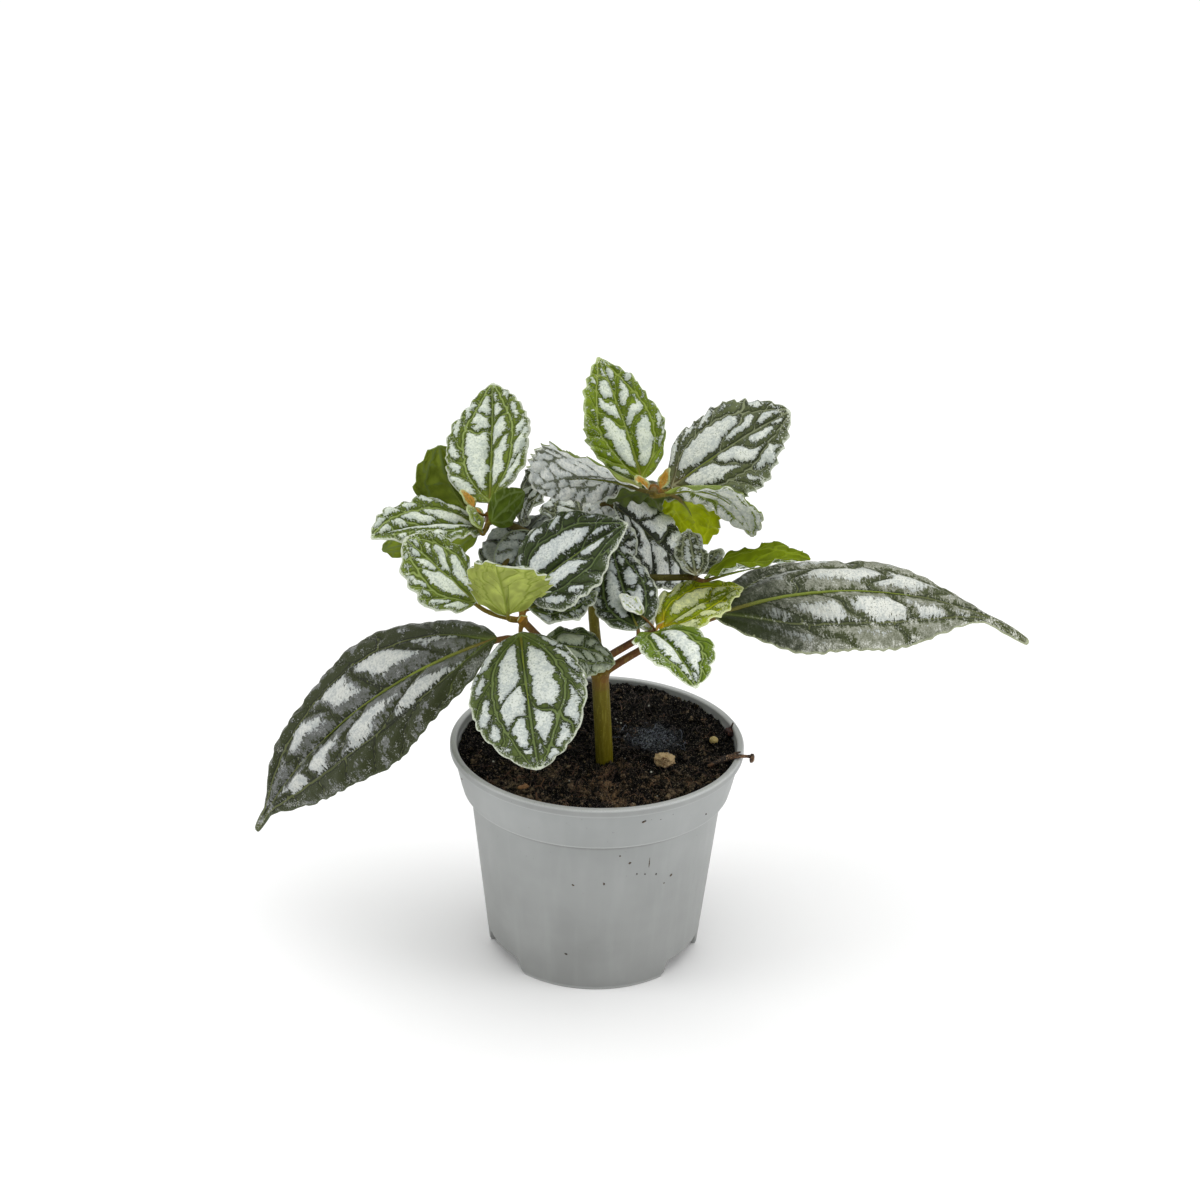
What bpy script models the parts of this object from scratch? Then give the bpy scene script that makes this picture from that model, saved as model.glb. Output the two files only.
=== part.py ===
# Potted aluminum plant: a nursery pot filled with peat, a short forked stem and its opposite leaves.
# X runs to the plant's right, Y to its back and Z up. The origin is the middle of the pot's underside.

import math

import bmesh
import bpy
from mathutils import Matrix, Vector, noise

MM = 0.001
GAP = 0.3 * MM

# Pot
POT_HEIGHT = 69 * MM
RIM_RADIUS = 45 * MM
LIP_HEIGHT = 2.6 * MM
LIP_STEP = 1.0 * MM
COLLAR_HEIGHT = 15 * MM
COLLAR_FOOT_RADIUS = 41.2 * MM
WALL_TOP_RADIUS = 38.9 * MM
FOOT_RADIUS = 33 * MM
WALL = 1.3 * MM
FLOOR_RAISE = 5 * MM
FLOOR_RING_INNER = 21 * MM
POT_STEPS = 36
FOOT_GAP_COUNT = 3
FOOT_GAP_FIRST = math.radians(90)
FOOT_GAP_WIDTH = 23 * MM
FOOT_GAP_HEIGHT = 4.5 * MM
DRAIN_COUNT = 6
DRAIN_RADIUS = 2.6 * MM
DRAIN_CIRCLE = 26 * MM

# Soil
SOIL_TOP = 66.3 * MM
SOIL_BUMP = 0.9 * MM
STEM_DEPTH = 12 * MM

# Blades
BLADE = 0.7 * MM
CURL = math.radians(18)
OLD_CURL = math.radians(26)
END_HALF_WIDTH = 0.45
TOOTH_FROM, TOOTH_FULL = 0.2, 0.45
TAIL_SHARE, TAIL_HALF_WIDTH = 0.07, 3.4
MIDRIB_STEPS = 60
MIDRIB_DROP = 0.25

# Stem joints in millimetres: where each one is and how thick the stem swells there.
JOINTS = {
    "soil": ((2.4, -10, 66), 2.8),
    "lowest": ((0.5, -10, 95.5), 3.4),
    "fork": ((-3, -6, 128), 2.1),
    "left_low": ((-22, -1, 137), 1.5),
    "left_tip": ((-33, 2, 141), 1.9),
    "top_low": ((-2.5, 7, 142), 1.6),
    "top_tip": ((15, 2, 150.5), 2.0),
    "front_low": ((-13, -22, 109), 1.7),
    "front_tip": ((-22, -28, 121), 2.0),
    "low_tip": ((15, -22, 115.5), 1.9),
    "right_tip": ((27, -10.5, 128), 1.5),
}

# Stem lengths: joints or points they pass, with their thickness in millimetres at both ends.
RUNS = (
    (("soil", "lowest"), 2.8, 2.7),
    (("lowest", (-1.5, -9, 111), "fork"), 1.8, 1.5),
    (("fork", (-12, -4, 133), "left_low", "left_tip"), 1.4, 1.1),
    (("fork", (-3, 1, 135), "top_low", (4, 8, 147.3), "top_tip"), 1.4, 1.2),
    (((0.2, -10, 99.5), (-3, -17, 103), "front_low", "front_tip"), 1.4, 1.1),
    (((0.2, -10, 99.5), (5, -16, 106), "low_tip"), 1.3, 1.1),
    (("fork", (8, -11, 128), (18, -11.5, 128), "right_tip"), 1.2, 1.0),
)

# Where the petioles of the two old leaves bend, in millimetres.
BENDS = {
    "leaf_old_left": (-18, -12, 109),
    "leaf_old_right": (15, -8, 106),
    "leaf_left_4": (-31, -7, 142),
    "leaf_low_3": (10.5, -32.5, 113.5),
    "leaf_low_4": (18, -33, 119.5),
}

# Leaves: the joint each grows from, the foot of its blade (mm), its heading, rise, droop and sweep along the
# midrib, its roll and twist about it (degrees), the blade's length and width (mm) and its V fold (degrees).
LEAVES = {
    "leaf_old_left": ("lowest", (-30, -16, 109.5), (173, -22, 42, 4), (19, 32), (105, 47), 22),
    "leaf_old_right": ("lowest", (33.5, -10, 115.5), (31, 9, 34, -34), (-18, -6), (106, 42), 9),
    "leaf_back": ("fork", (-4, 4, 127), (97, 28, 38, 0), (0, 0), (42, 26), 12),
    "leaf_left_1": ("left_tip", (-33, 0.5, 145.5), (90, 40, 7, 3), (29, -11), (43, 28.5), 30),
    "leaf_left_2": ("left_tip", (-35, -1, 137.5), (199, 17, 22, 19), (8, 2), (35.5, 24.5), 32),
    "leaf_left_3": ("left_tip", (-40.5, 22, 135), (194, 50, -35, 10), (-75, -5), (23.5, 22), 9),
    "leaf_left_4": ("left_tip", (-32, -9.5, 143.5), (50, 24, 11, 3), (-69, -8), (15.5, 11), 7),
    "leaf_left_5": ("left_tip", (-36.5, 3, 135), (177, -5, 17, -1), (-75, 0), (29.5, 17), 12),
    "leaf_left_6": ("left_tip", (-35, -9.5, 141), (125, 44, 8, -1), (-28, 6), (8.5, 6), 25),
    "leaf_left_7": ("left_tip", (-37.5, -2, 145), (130, 38, 12, -1), (-21, 5), (7, 5), 25),
    "leaf_left_8": ("left_low", (-30.5, -6, 126), (63, 29, 26, 2), (0, 5), (31.5, 23.5), 12),
    "leaf_top_1": ("top_tip", (11.5, 4, 152.5), (127, 62, 12, 3), (3, 3), (38.5, 27), 16),
    "leaf_top_2": ("top_tip", (20.5, 10, 148), (9, 39, 9, -8), (-27, -6), (41.5, 36), 12),
    "leaf_top_3": ("top_tip", (10.5, -16, 157.5), (154, 9, 42, -5), (-19, -53), (37, 31.5), 22),
    "leaf_top_4": ("top_tip", (18, -14.5, 155.5), (20, 11, 86, 5), (27, 0), (36, 22), 12),
    "leaf_top_5": ("top_tip", (23.5, 12, 143.5), (64, -34, 40, -5), (6, 1), (25, 18), 19),
    "leaf_top_6": ("top_low", (3.5, 2.2, 144.9), (19, -39, 16, -4), (-17, -29), (38, 30.5), 13),
    "leaf_top_7": ("top_low", (-10.5, 11, 151.5), (180, -9, 88, 6), (9, 7), (24.5, 18.5), 24),
    "leaf_top_8": ("top_tip", (15.5, 11.5, 148), (73, -10, 66, 0), (0, 0), (30, 21), 12),
    "leaf_front_1": ("front_tip", (-21.5, -24.5, 127.5), (11, 43, 14, -7), (-22, 1), (36, 35.5), 23),
    "leaf_front_2": ("front_tip", (-35, -32.6, 128.3), (175, 45, 6, -5), (8, 21), (27, 27.5), 13),
    "leaf_front_3": ("front_tip", (-26, -32.5, 124.5), (-83, 63, 8, -9), (-2, 12), (23.5, 24), 30),
    "leaf_front_4": ("front_tip", (-22.5, -30, 118), (-84, -21, 26, 9), (-16, 2), (44.5, 33.5), 11),
    "leaf_front_5": ("front_tip", (-20.5, -26, 124), (16, 8, 1, 4), (-11, -1), (21, 17), 9),
    "leaf_front_6": ("front_low", (-15.5, -29.2, 113.4), (17, 3, 46, 2), (-17, -15), (23.5, 18.5), 10),
    "leaf_right_1": ("right_tip", (30.5, -14, 129), (-17, 26, 16, 0), (4, 0), (32, 22), 35),
    "leaf_right_2": ("right_tip", (27.5, -14, 130), (99, 34, 7, -3), (-6, -2), (17, 10), 12),
    "leaf_right_3": ("right_tip", (29, -8, 128.5), (49, 25, 2, 1), (-2, -1), (11, 7), 12),
    "leaf_low_1": ("low_tip", (18, -22.6, 115.9), (32, 29, 17, -13), (0, 0), (28, 26), 28),
    "leaf_low_2": ("low_tip", (15, -30, 118.6), (-60, 13, 53, -2), (0, 10), (27, 23.5), 27),
    "leaf_low_3": ("low_tip", (11, -31, 120.5), (112, 25, -11, -9), (14, 6), (30, 19.5), 5),
    "leaf_low_4": ("low_tip", (12, -28, 123.5), (143, 25, -3, -4), (7, 3), (9, 6), 32),
}


def clear_scene():
    for item in list(bpy.data.objects):
        bpy.data.objects.remove(item, do_unlink=True)


def new_collection(name):
    group = bpy.data.collections.new(name)
    bpy.context.scene.collection.children.link(group)
    return group


def new_material(name, color, roughness, metallic=0.0):
    made = bpy.data.materials.new(name)
    made.use_nodes = True
    shader = made.node_tree.nodes["Principled BSDF"]
    shader.inputs["Base Color"].default_value = (*color, 1)
    shader.inputs["Roughness"].default_value = roughness
    shader.inputs["Metallic"].default_value = metallic
    return made


def object_from(bm, name, group, material=None):
    mesh = bpy.data.meshes.new(name)
    bm.to_mesh(mesh)
    bm.free()
    made = bpy.data.objects.new(name, mesh)
    group.objects.link(made)
    if material:
        mesh.materials.append(material)
    return made


def boolean(target, other, operation, solver="EXACT"):
    """Applies one Boolean on target with an object or a collection and removes what it used."""
    cut = target.modifiers.new(operation.title(), "BOOLEAN")
    cut.operation = operation
    cut.solver = solver
    used = [other]
    if isinstance(other, bpy.types.Collection):
        cut.operand_type = "COLLECTION"
        cut.collection = other
        used = list(other.objects)
    else:
        cut.object = other
    graph = bpy.context.evaluated_depsgraph_get()
    mesh = bpy.data.meshes.new_from_object(target.evaluated_get(graph))
    target.modifiers.clear()
    target.data = mesh
    for item in used:
        bpy.data.objects.remove(item, do_unlink=True)


def tube(name, points, start, end, group):
    """A round rod through the points in millimetres, its radius running from start to end, as a mesh."""
    curve = bpy.data.curves.new(name, "CURVE")
    curve.dimensions = "3D"
    curve.bevel_depth = MM
    curve.bevel_resolution = 1
    curve.use_fill_caps = True
    spline = curve.splines.new("POLY")
    spline.points.add(len(points) - 1)
    for i, (spot, point) in enumerate(zip(spline.points, points)):
        spot.co = (*(Vector(point) * MM), 1)
        spot.radius = start + (end - start) * i / (len(points) - 1)
    rod = bpy.data.objects.new(name, curve)
    group.objects.link(rod)
    graph = bpy.context.evaluated_depsgraph_get()
    mesh = bpy.data.meshes.new_from_object(rod.evaluated_get(graph))
    bpy.data.objects.remove(rod, do_unlink=True)
    bm = bmesh.new()
    bm.from_mesh(mesh)
    bmesh.ops.remove_doubles(bm, verts=bm.verts, dist=0.001 * MM)
    return object_from(bm, name, group)


def turned(name, profile, steps, group, material):
    """A closed profile of radius and height pairs turned about Z, running down its outer side."""
    bm = bmesh.new()
    corners = [bm.verts.new((radius, 0, height)) for radius, height in profile]
    for first, second in zip(corners, corners[1:] + corners[:1]):
        if first.co.x > 0 or second.co.x > 0:
            bm.edges.new((first, second))
    body = object_from(bm, name, group, material)
    screw = body.modifiers.new("Screw", "SCREW")
    screw.steps = screw.render_steps = steps
    screw.use_merge_vertices = True
    screw.merge_threshold = 0.01 * MM
    graph = bpy.context.evaluated_depsgraph_get()
    mesh = bpy.data.meshes.new_from_object(body.evaluated_get(graph))
    body.modifiers.clear()
    body.data = mesh
    return body


def wall_radius(height):
    """Outer radius of the pot's straight lower wall."""
    share = height / (POT_HEIGHT - COLLAR_HEIGHT)
    return FOOT_RADIUS + (WALL_TOP_RADIUS - FOOT_RADIUS) * share


def pot_profile():
    step = POT_HEIGHT - COLLAR_HEIGHT
    lip = POT_HEIGHT - LIP_HEIGHT
    collar = RIM_RADIUS - LIP_STEP
    ring_outer = wall_radius(FLOOR_RAISE) - WALL - 0.8 * MM
    return [
        (RIM_RADIUS - 0.5 * MM, POT_HEIGHT),
        (RIM_RADIUS, POT_HEIGHT - 0.6 * MM),
        (RIM_RADIUS, lip),
        (collar, lip - 0.5 * MM),
        (COLLAR_FOOT_RADIUS, step + 0.6 * MM),
        (COLLAR_FOOT_RADIUS - 0.6 * MM, step),
        (WALL_TOP_RADIUS, step - 0.3 * MM),
        (FOOT_RADIUS, 0),
        (FOOT_RADIUS - 2 * WALL, 0),
        (ring_outer, FLOOR_RAISE),
        (FLOOR_RING_INNER + 1.5 * MM, FLOOR_RAISE),
        (FLOOR_RING_INNER, 0),
        (0, 0),
        (0, WALL),
        (FLOOR_RING_INNER - WALL, WALL),
        (FLOOR_RING_INNER, FLOOR_RAISE + WALL),
        (wall_radius(FLOOR_RAISE + WALL) - WALL, FLOOR_RAISE + WALL),
        (WALL_TOP_RADIUS - WALL, step + 0.8 * WALL),
        (COLLAR_FOOT_RADIUS - WALL, step + 1.5 * WALL),
        (RIM_RADIUS - LIP_STEP - WALL, lip),
        (RIM_RADIUS - 0.5 * MM - WALL, POT_HEIGHT),
    ]


def foot_gap_cutter(turn, group):
    """A block with slanting sides that lifts one stretch of the foot off the ground."""
    bm = bmesh.new()
    bmesh.ops.create_cube(bm, size=1)
    for vert in bm.verts:
        width = FOOT_GAP_WIDTH * (0.5 if vert.co.z < 0 else 0.4)
        vert.co.x = (FOOT_RADIUS + 5 * MM) if vert.co.x > 0 else (FOOT_RADIUS - 8 * MM)
        vert.co.y = math.copysign(width, vert.co.y)
        vert.co.z = FOOT_GAP_HEIGHT if vert.co.z > 0 else -MM
    bmesh.ops.rotate(bm, verts=bm.verts, cent=(0, 0, 0), matrix=Matrix.Rotation(turn, 3, "Z"))
    return object_from(bm, "foot_gap", group)


def drain_cutter(turn, group):
    bm = bmesh.new()
    bmesh.ops.create_cone(
        bm, segments=12, radius1=DRAIN_RADIUS, radius2=DRAIN_RADIUS, depth=6 * MM, cap_ends=True
    )
    spot = (DRAIN_CIRCLE * math.cos(turn), DRAIN_CIRCLE * math.sin(turn), FLOOR_RAISE)
    bmesh.ops.translate(bm, verts=bm.verts, vec=spot)
    return object_from(bm, "drain", group)


def make_pot(group, material):
    pot = turned("pot", pot_profile(), POT_STEPS, group, material)
    cutters = new_collection("cutters")
    for i in range(FOOT_GAP_COUNT):
        foot_gap_cutter(FOOT_GAP_FIRST + math.tau * i / FOOT_GAP_COUNT, cutters)
    for i in range(DRAIN_COUNT):
        drain_cutter(math.tau * i / DRAIN_COUNT, cutters)
    boolean(pot, cutters, "DIFFERENCE")
    pot.data.shade_smooth()
    pot.data.set_sharp_from_angle(angle=math.radians(35))
    return pot


def soil_profile():
    step = POT_HEIGHT - COLLAR_HEIGHT
    lip = POT_HEIGHT - LIP_HEIGHT
    floor = FLOOR_RAISE + WALL + GAP
    share = (SOIL_TOP - SOIL_BUMP - step) / (lip - step)
    top_radius = COLLAR_FOOT_RADIUS + (RIM_RADIUS - LIP_STEP - COLLAR_FOOT_RADIUS) * share - WALL - GAP
    rings = [(top_radius * share, SOIL_TOP) for share in (0, 0.22, 0.42, 0.6, 0.78, 0.91, 1)]
    return rings + [
        (COLLAR_FOOT_RADIUS - WALL - GAP, step + 1.5 * WALL + GAP),
        (WALL_TOP_RADIUS - WALL - GAP, step + 0.8 * WALL + GAP),
        (wall_radius(floor) - WALL - GAP, floor),
        (FLOOR_RING_INNER - GAP, floor),
        (FLOOR_RING_INNER - WALL - 2 * GAP, WALL + GAP),
        (0, WALL + GAP),
    ]


def make_soil(group, material):
    soil = turned("soil", soil_profile(), POT_STEPS, group, material)
    for vert in soil.data.vertices:
        if vert.co.z > SOIL_TOP - MM:
            vert.co.z += SOIL_BUMP * noise.noise(vert.co / (7 * MM)) - 0.2 * MM
    (x, y, _), radius = JOINTS["soil"]
    bm = bmesh.new()
    hole = radius * MM + GAP
    bmesh.ops.create_cone(bm, segments=16, radius1=hole, radius2=hole, depth=2 * STEM_DEPTH, cap_ends=True)
    bmesh.ops.translate(bm, verts=bm.verts, vec=(x * MM, y * MM, SOIL_TOP))
    boolean(soil, object_from(bm, "stem_hole", group), "DIFFERENCE")
    return soil


def joint_spot(item):
    return Vector(JOINTS[item][0] if isinstance(item, str) else item)


def bead(center, radius, name, group):
    """The swelling at a stem joint."""
    bm = bmesh.new()
    bmesh.ops.create_icosphere(bm, subdivisions=1, radius=radius * MM)
    bmesh.ops.translate(bm, verts=bm.verts, vec=center * MM)
    return object_from(bm, name, group)


def make_stem(group, material):
    """Every run and every joint of the stem, fused into one body that stands in the soil."""
    foot = joint_spot("soil")
    foot.z = (SOIL_TOP - STEM_DEPTH + GAP) / MM
    path, start, end = RUNS[0]
    stem = tube("stem", [foot] + [joint_spot(item) for item in path], start, end, group)
    stem.data.materials.append(material)
    pieces = new_collection("stem_pieces")
    for path, start, end in RUNS[1:]:
        tube("run", [joint_spot(item) for item in path], start, end, pieces)
    for name, (center, radius) in JOINTS.items():
        if name != "soil":
            bead(Vector(center), radius, "bead", pieces)
    for name, leaf in LEAVES.items():
        thick = petiole_radius(leaf, name)
        tube("petiole", petiole_points(name, leaf), thick, thick * 0.85, pieces)
    boolean(stem, pieces, "UNION", "MANIFOLD")
    bpy.data.collections.remove(pieces)
    return stem


def direction(heading, rise):
    """Unit vector for a compass heading from +X towards +Y and a rise above level, in degrees."""
    heading, rise = math.radians(heading), math.radians(rise)
    flat = math.cos(rise)
    return Vector((math.cos(heading) * flat, math.sin(heading) * flat, math.sin(rise)))


def midrib(leaf):
    """Points of the midrib in millimetres, bending as the leaf droops and sweeps."""
    _, foot, (heading, rise, droop, sweep), _, (length, _), _ = leaf
    points = [Vector(foot)]
    for i in range(MIDRIB_STEPS):
        middle = (i + 0.5) / MIDRIB_STEPS
        step = direction(heading + sweep * middle, rise - droop * middle)
        points.append(points[-1] + step * length / MIDRIB_STEPS)
    return points


def leaf_axes(leaf, u):
    """Directions along, across and up from the blade at the share u of its length."""
    _, _, (heading, rise, droop, sweep), (roll, twist), _, _ = leaf
    turn = math.radians(heading + sweep * u)
    along = direction(heading + sweep * u, rise - droop * u)
    level = Vector((math.sin(turn), -math.cos(turn), 0))
    up = level.cross(along)
    tilt = math.radians(roll + twist * u)
    across = level * math.cos(tilt) + up * math.sin(tilt)
    return along, across, up * math.cos(tilt) - level * math.sin(tilt)


def smooth(low, high, value):
    share = min(max((value - low) / (high - low), 0), 1)
    return share * share * (3 - 2 * share)


def half_width(leaf, u, teeth, depth, is_old):
    """Half the blade's width at u: a leaf outline with teeth past its lower part, and a tail if it is old."""
    width = leaf[4][1]
    rise, fall = (0.72, 0.95) if is_old else (0.62, 0.8)
    share = min(u / (1 - TAIL_SHARE), 1) if is_old else u
    widest = rise / (rise + fall)
    body = (share / widest) ** rise * ((1 - share) / (1 - widest)) ** fall * width / 2
    body *= 1 + depth * smooth(TOOTH_FROM, TOOTH_FULL, u) * math.cos(math.tau * teeth * u)
    tail = TAIL_HALF_WIDTH * math.sqrt(1 - u) * smooth(0.5, 0.9, u) if is_old else 0
    return math.hypot(body, END_HALF_WIDTH + tail)


def blade_point(leaf, rib, u, v, style):
    """The blade's middle surface at u along the midrib and v across it, from -1 to 1."""
    along, across, up = leaf_axes(leaf, u)
    place = u * MIDRIB_STEPS
    lower = min(int(place), MIDRIB_STEPS - 1)
    spot = rib[lower].lerp(rib[lower + 1], place - lower)
    half = half_width(leaf, u, style["teeth"], style["depth"], style["is_old"])
    angle = math.radians(leaf[5]) - style["curl"] * abs(v)
    side = 1 if v > 0 else -1
    wave = style["wave"] * v * v * math.sin(math.tau * (2.5 * u + 0.25 * side)) * smooth(0, 0.25, u)
    lift = half * abs(v) * math.sin(angle) + wave * smooth(1, 0.8, u)
    return spot + across * half * v * math.cos(angle) + up * lift


def leaf_style(leaf, name):
    """Teeth, waves and grid of a blade, by its kind and size."""
    length = leaf[4][0]
    if "old" in name:
        return {"rows": 20, "columns": 4, "teeth": 10, "depth": 0.03, "wave": 1.2, "curl": OLD_CURL, "is_old": True}
    if length < 12:
        return {"rows": 6, "columns": 2, "teeth": 3, "depth": 0.05, "wave": 0, "curl": CURL, "is_old": False}
    rows = 14 if length > 20 else 10
    return {"rows": rows, "columns": 4, "teeth": rows // 2, "depth": 0.05, "wave": 0.8, "curl": CURL, "is_old": False}


def petiole_radius(leaf, name):
    return 1.25 if "old" in name else 0.8 if leaf[4][0] > 12 else 0.5


def petiole_points(name, leaf):
    """From the stem joint, bending into the blade's heading, to just short of the blade."""
    center, foot = Vector(JOINTS[leaf[0]][0]), Vector(leaf[1])
    along, _, up = leaf_axes(leaf, 0)
    foot = foot - up * MIDRIB_DROP - along * GAP / MM
    handle = Vector(BENDS.get(name, foot - along * 0.35 * (foot - center).length))
    points = []
    for i in range(3):
        t = i / 3
        points.append(center * (1 - t) ** 2 + handle * 2 * t * (1 - t) + (foot - along) * t * t)
    return points + [foot - along, foot]


def make_leaf(name, leaf, group, material):
    """The toothed blade. An old one has the ridge of its midrib under it."""
    style = leaf_style(leaf, name)
    rib = midrib(leaf)
    bm = bmesh.new()
    bmesh.ops.create_grid(bm, x_segments=style["rows"], y_segments=style["columns"], size=0.5)
    for vert in bm.verts:
        u, v = vert.co.x + 0.5, vert.co.y * 2
        vert.co = blade_point(leaf, rib, min(max(u, 0), 1), v, style) * MM
    bmesh.ops.triangulate(bm, faces=bm.faces)
    blade = object_from(bm, name, group, material)
    skin = blade.modifiers.new("Thickness", "SOLIDIFY")
    skin.thickness = BLADE
    skin.offset = 0
    if not style["is_old"]:
        return blade
    thick = petiole_radius(leaf, name) * 0.85
    ridge = []
    for share in (0, 0.12, 0.25, 0.4):
        spot = rib[int(share * MIDRIB_STEPS)]
        ridge.append(spot - leaf_axes(leaf, share)[2] * MIDRIB_DROP)
    boolean(blade, tube("ridge", ridge, thick, thick * 0.5, group), "UNION", "MANIFOLD")
    return blade


def main():
    clear_scene()
    plant = new_collection("potted_aluminum_plant")
    grey_plastic = new_material("grey_plastic", (0.36, 0.38, 0.38), 0.45)
    peat = new_material("peat", (0.03, 0.02, 0.015), 0.95)
    green_stem = new_material("green_stem", (0.2, 0.16, 0.05), 0.5)
    leaf_green = new_material("leaf_green", (0.2, 0.3, 0.14), 0.45)
    make_pot(plant, grey_plastic)
    make_soil(plant, peat)
    make_stem(plant, green_stem)
    for name, leaf in LEAVES.items():
        make_leaf(name, leaf, plant, leaf_green)


main()
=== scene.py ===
# Potted aluminum plant: the fine surfaces, colours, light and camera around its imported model.
# Metres, Z up. The origin is the middle of the pot's underside, and the viewer stands on the -Y side.

import math
import random
from collections import namedtuple

import bmesh
import bpy
import numpy as np
from mathutils import Matrix, Vector, kdtree, noise


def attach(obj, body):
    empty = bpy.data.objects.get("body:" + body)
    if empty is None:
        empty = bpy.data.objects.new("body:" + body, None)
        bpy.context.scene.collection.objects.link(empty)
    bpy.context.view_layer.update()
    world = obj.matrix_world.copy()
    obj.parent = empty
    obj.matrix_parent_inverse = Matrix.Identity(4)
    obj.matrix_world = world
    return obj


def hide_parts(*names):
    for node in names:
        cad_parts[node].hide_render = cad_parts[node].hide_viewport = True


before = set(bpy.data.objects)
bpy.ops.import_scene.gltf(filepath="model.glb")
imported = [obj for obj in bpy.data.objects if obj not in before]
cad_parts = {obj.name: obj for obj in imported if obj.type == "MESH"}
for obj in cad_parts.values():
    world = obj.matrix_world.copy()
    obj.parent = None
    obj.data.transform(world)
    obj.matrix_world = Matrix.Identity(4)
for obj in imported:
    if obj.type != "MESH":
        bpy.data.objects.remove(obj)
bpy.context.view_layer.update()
mm = 0.001
print("frame loaded:", len(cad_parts), "nodes")


# Small helpers for colours and nodes.

class Signal:
    # a node's output, which adds, subtracts and multiplies as a number does
    def __init__(self, node, output=0):
        self.tree = node.id_data
        self.socket = node.outputs[output]

    def __add__(self, other):
        return calc("ADD", self, other)

    def __sub__(self, other):
        return calc("SUBTRACT", self, other)

    def __mul__(self, other):
        return calc("MULTIPLY", self, other)

    def clamped(self):
        self.socket.node.use_clamp = True
        return self


def tone(color):
    # a display colour, 0 to 255, as the linear colour that shaders take
    shares = [value / 255 for value in color]
    linear = [share / 12.92 if share < 0.04045 else ((share + 0.055) / 1.055) ** 2.4 for share in shares]
    return (*linear, 1.0)


def feed(node, values):
    # sets a node's inputs, each to a number, a colour or another node's output
    for key, value in values.items():
        if isinstance(value, Signal):
            node.id_data.links.new(value.socket, node.inputs[key])
        else:
            node.inputs[key].default_value = value


def put(tree, kind, values, output=0, **settings):
    # makes a node and gives one of its outputs
    node = tree.nodes.new(kind)
    for key, value in settings.items():
        setattr(node, key, value)
    feed(node, values)
    return Signal(node, output)


def calc(operation, first, second=0.0):
    return put(first.tree, "ShaderNodeMath", {0: first, 1: second}, operation=operation)


def step(value, low, high, start=0.0, end=1.0):
    # a soft step: start below low, end above high
    values = {"Value": value, "From Min": low, "From Max": high, "To Min": start, "To Max": end}
    return put(value.tree, "ShaderNodeMapRange", values, "Result", interpolation_type="SMOOTHSTEP")


def blend(first, second, share):
    return put(share.tree, "ShaderNodeMix", {0: share, 6: first, 7: second}, 2, data_type="RGBA")


def grain(where, scale, detail=2.0, roughness=0.5):
    values = {"Vector": where, "Scale": scale, "Detail": detail, "Roughness": roughness}
    return put(where.tree, "ShaderNodeTexNoise", values, "Fac")


def stretched(where, scale):
    return put(where.tree, "ShaderNodeMapping", {"Vector": where, "Scale": scale})


def distanceTo(where, spot):
    return put(where.tree, "ShaderNodeVectorMath", {0: where, 1: spot}, "Value", operation="DISTANCE")


def fields(tree, *names):
    return [put(tree, "ShaderNodeAttribute", {}, "Fac", attribute_name=name) for name in names]


def newGroup(name, numbers, colors):
    # a node group with its inputs by name, and the place on the object in metres
    tree = bpy.data.node_groups.new(name, "ShaderNodeTree")
    for key, value in numbers.items():
        tree.interface.new_socket(key, in_out="INPUT", socket_type="NodeSocketFloat").default_value = value
    for key in colors:
        tree.interface.new_socket(key, in_out="INPUT", socket_type="NodeSocketColor")
    for key, kind in (("Color", "Color"), ("Roughness", "Float"), ("Height", "Float")):
        tree.interface.new_socket(key, in_out="OUTPUT", socket_type="NodeSocket" + kind)
    entry = tree.nodes.new("NodeGroupInput")
    given = {key: Signal(entry, key) for key in (*numbers, *colors)}
    return tree, given, put(tree, "ShaderNodeTexCoord", {}, "Object")


def closeGroup(tree, color, roughness, height):
    feed(tree.nodes.new("NodeGroupOutput"), {"Color": color, "Roughness": roughness, "Height": height})
    return tree


def newMaterial(name, group, values, relief, specular=0.5):
    # a Principled material from one group and those of the values that the group has a socket for
    made = bpy.data.materials.new(name)
    made.use_nodes = True
    look = made.node_tree.nodes.new("ShaderNodeGroup")
    look.node_tree = group
    for key, value in values.items():
        if key in look.inputs:
            isDisplayColor = isinstance(value, tuple) and len(value) == 3
            look.inputs[key].default_value = tone(value) if isDisplayColor else value
    bump = put(made.node_tree, "ShaderNodeBump", {"Height": Signal(look, "Height"), "Distance": relief})
    feed(made.node_tree.nodes["Principled BSDF"], {
        "Base Color": Signal(look, "Color"), "Roughness": Signal(look, "Roughness"), "Normal": bump,
        "Specular IOR Level": specular,
    })
    return made


# Small helpers for objects and meshes.

def addObject(name, data):
    thing = bpy.data.objects.new(name, data)
    bpy.context.scene.collection.objects.link(thing)
    return thing


def newPiece(name, mesh, materials, slot, *nodes):
    # an object at the origin that moves with the part and takes the place of the nodes
    piece = addObject(name, mesh)
    mesh.materials.clear()
    for material in materials:
        mesh.materials.append(material)
    mesh.polygons.foreach_set("use_smooth", [True] * len(mesh.polygons))
    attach(piece, "root")
    if nodes:
        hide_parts(*nodes)
    return piece


def meshOf(bm, name):
    mesh = bpy.data.meshes.new(name)
    bm.to_mesh(mesh)
    bm.free()
    return mesh


def setField(mesh, name, values):
    layer = mesh.attributes.new(name, "FLOAT", "POINT")
    layer.data.foreach_set("value", np.asarray(values, np.float32))


def evaluated(thing, name):
    # the finished mesh of an object with curves or modifiers; the object is removed
    graph = bpy.context.evaluated_depsgraph_get()
    mesh = bpy.data.meshes.new_from_object(thing.evaluated_get(graph))
    mesh.name = name
    bpy.data.objects.remove(thing, do_unlink=True)
    return mesh


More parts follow.
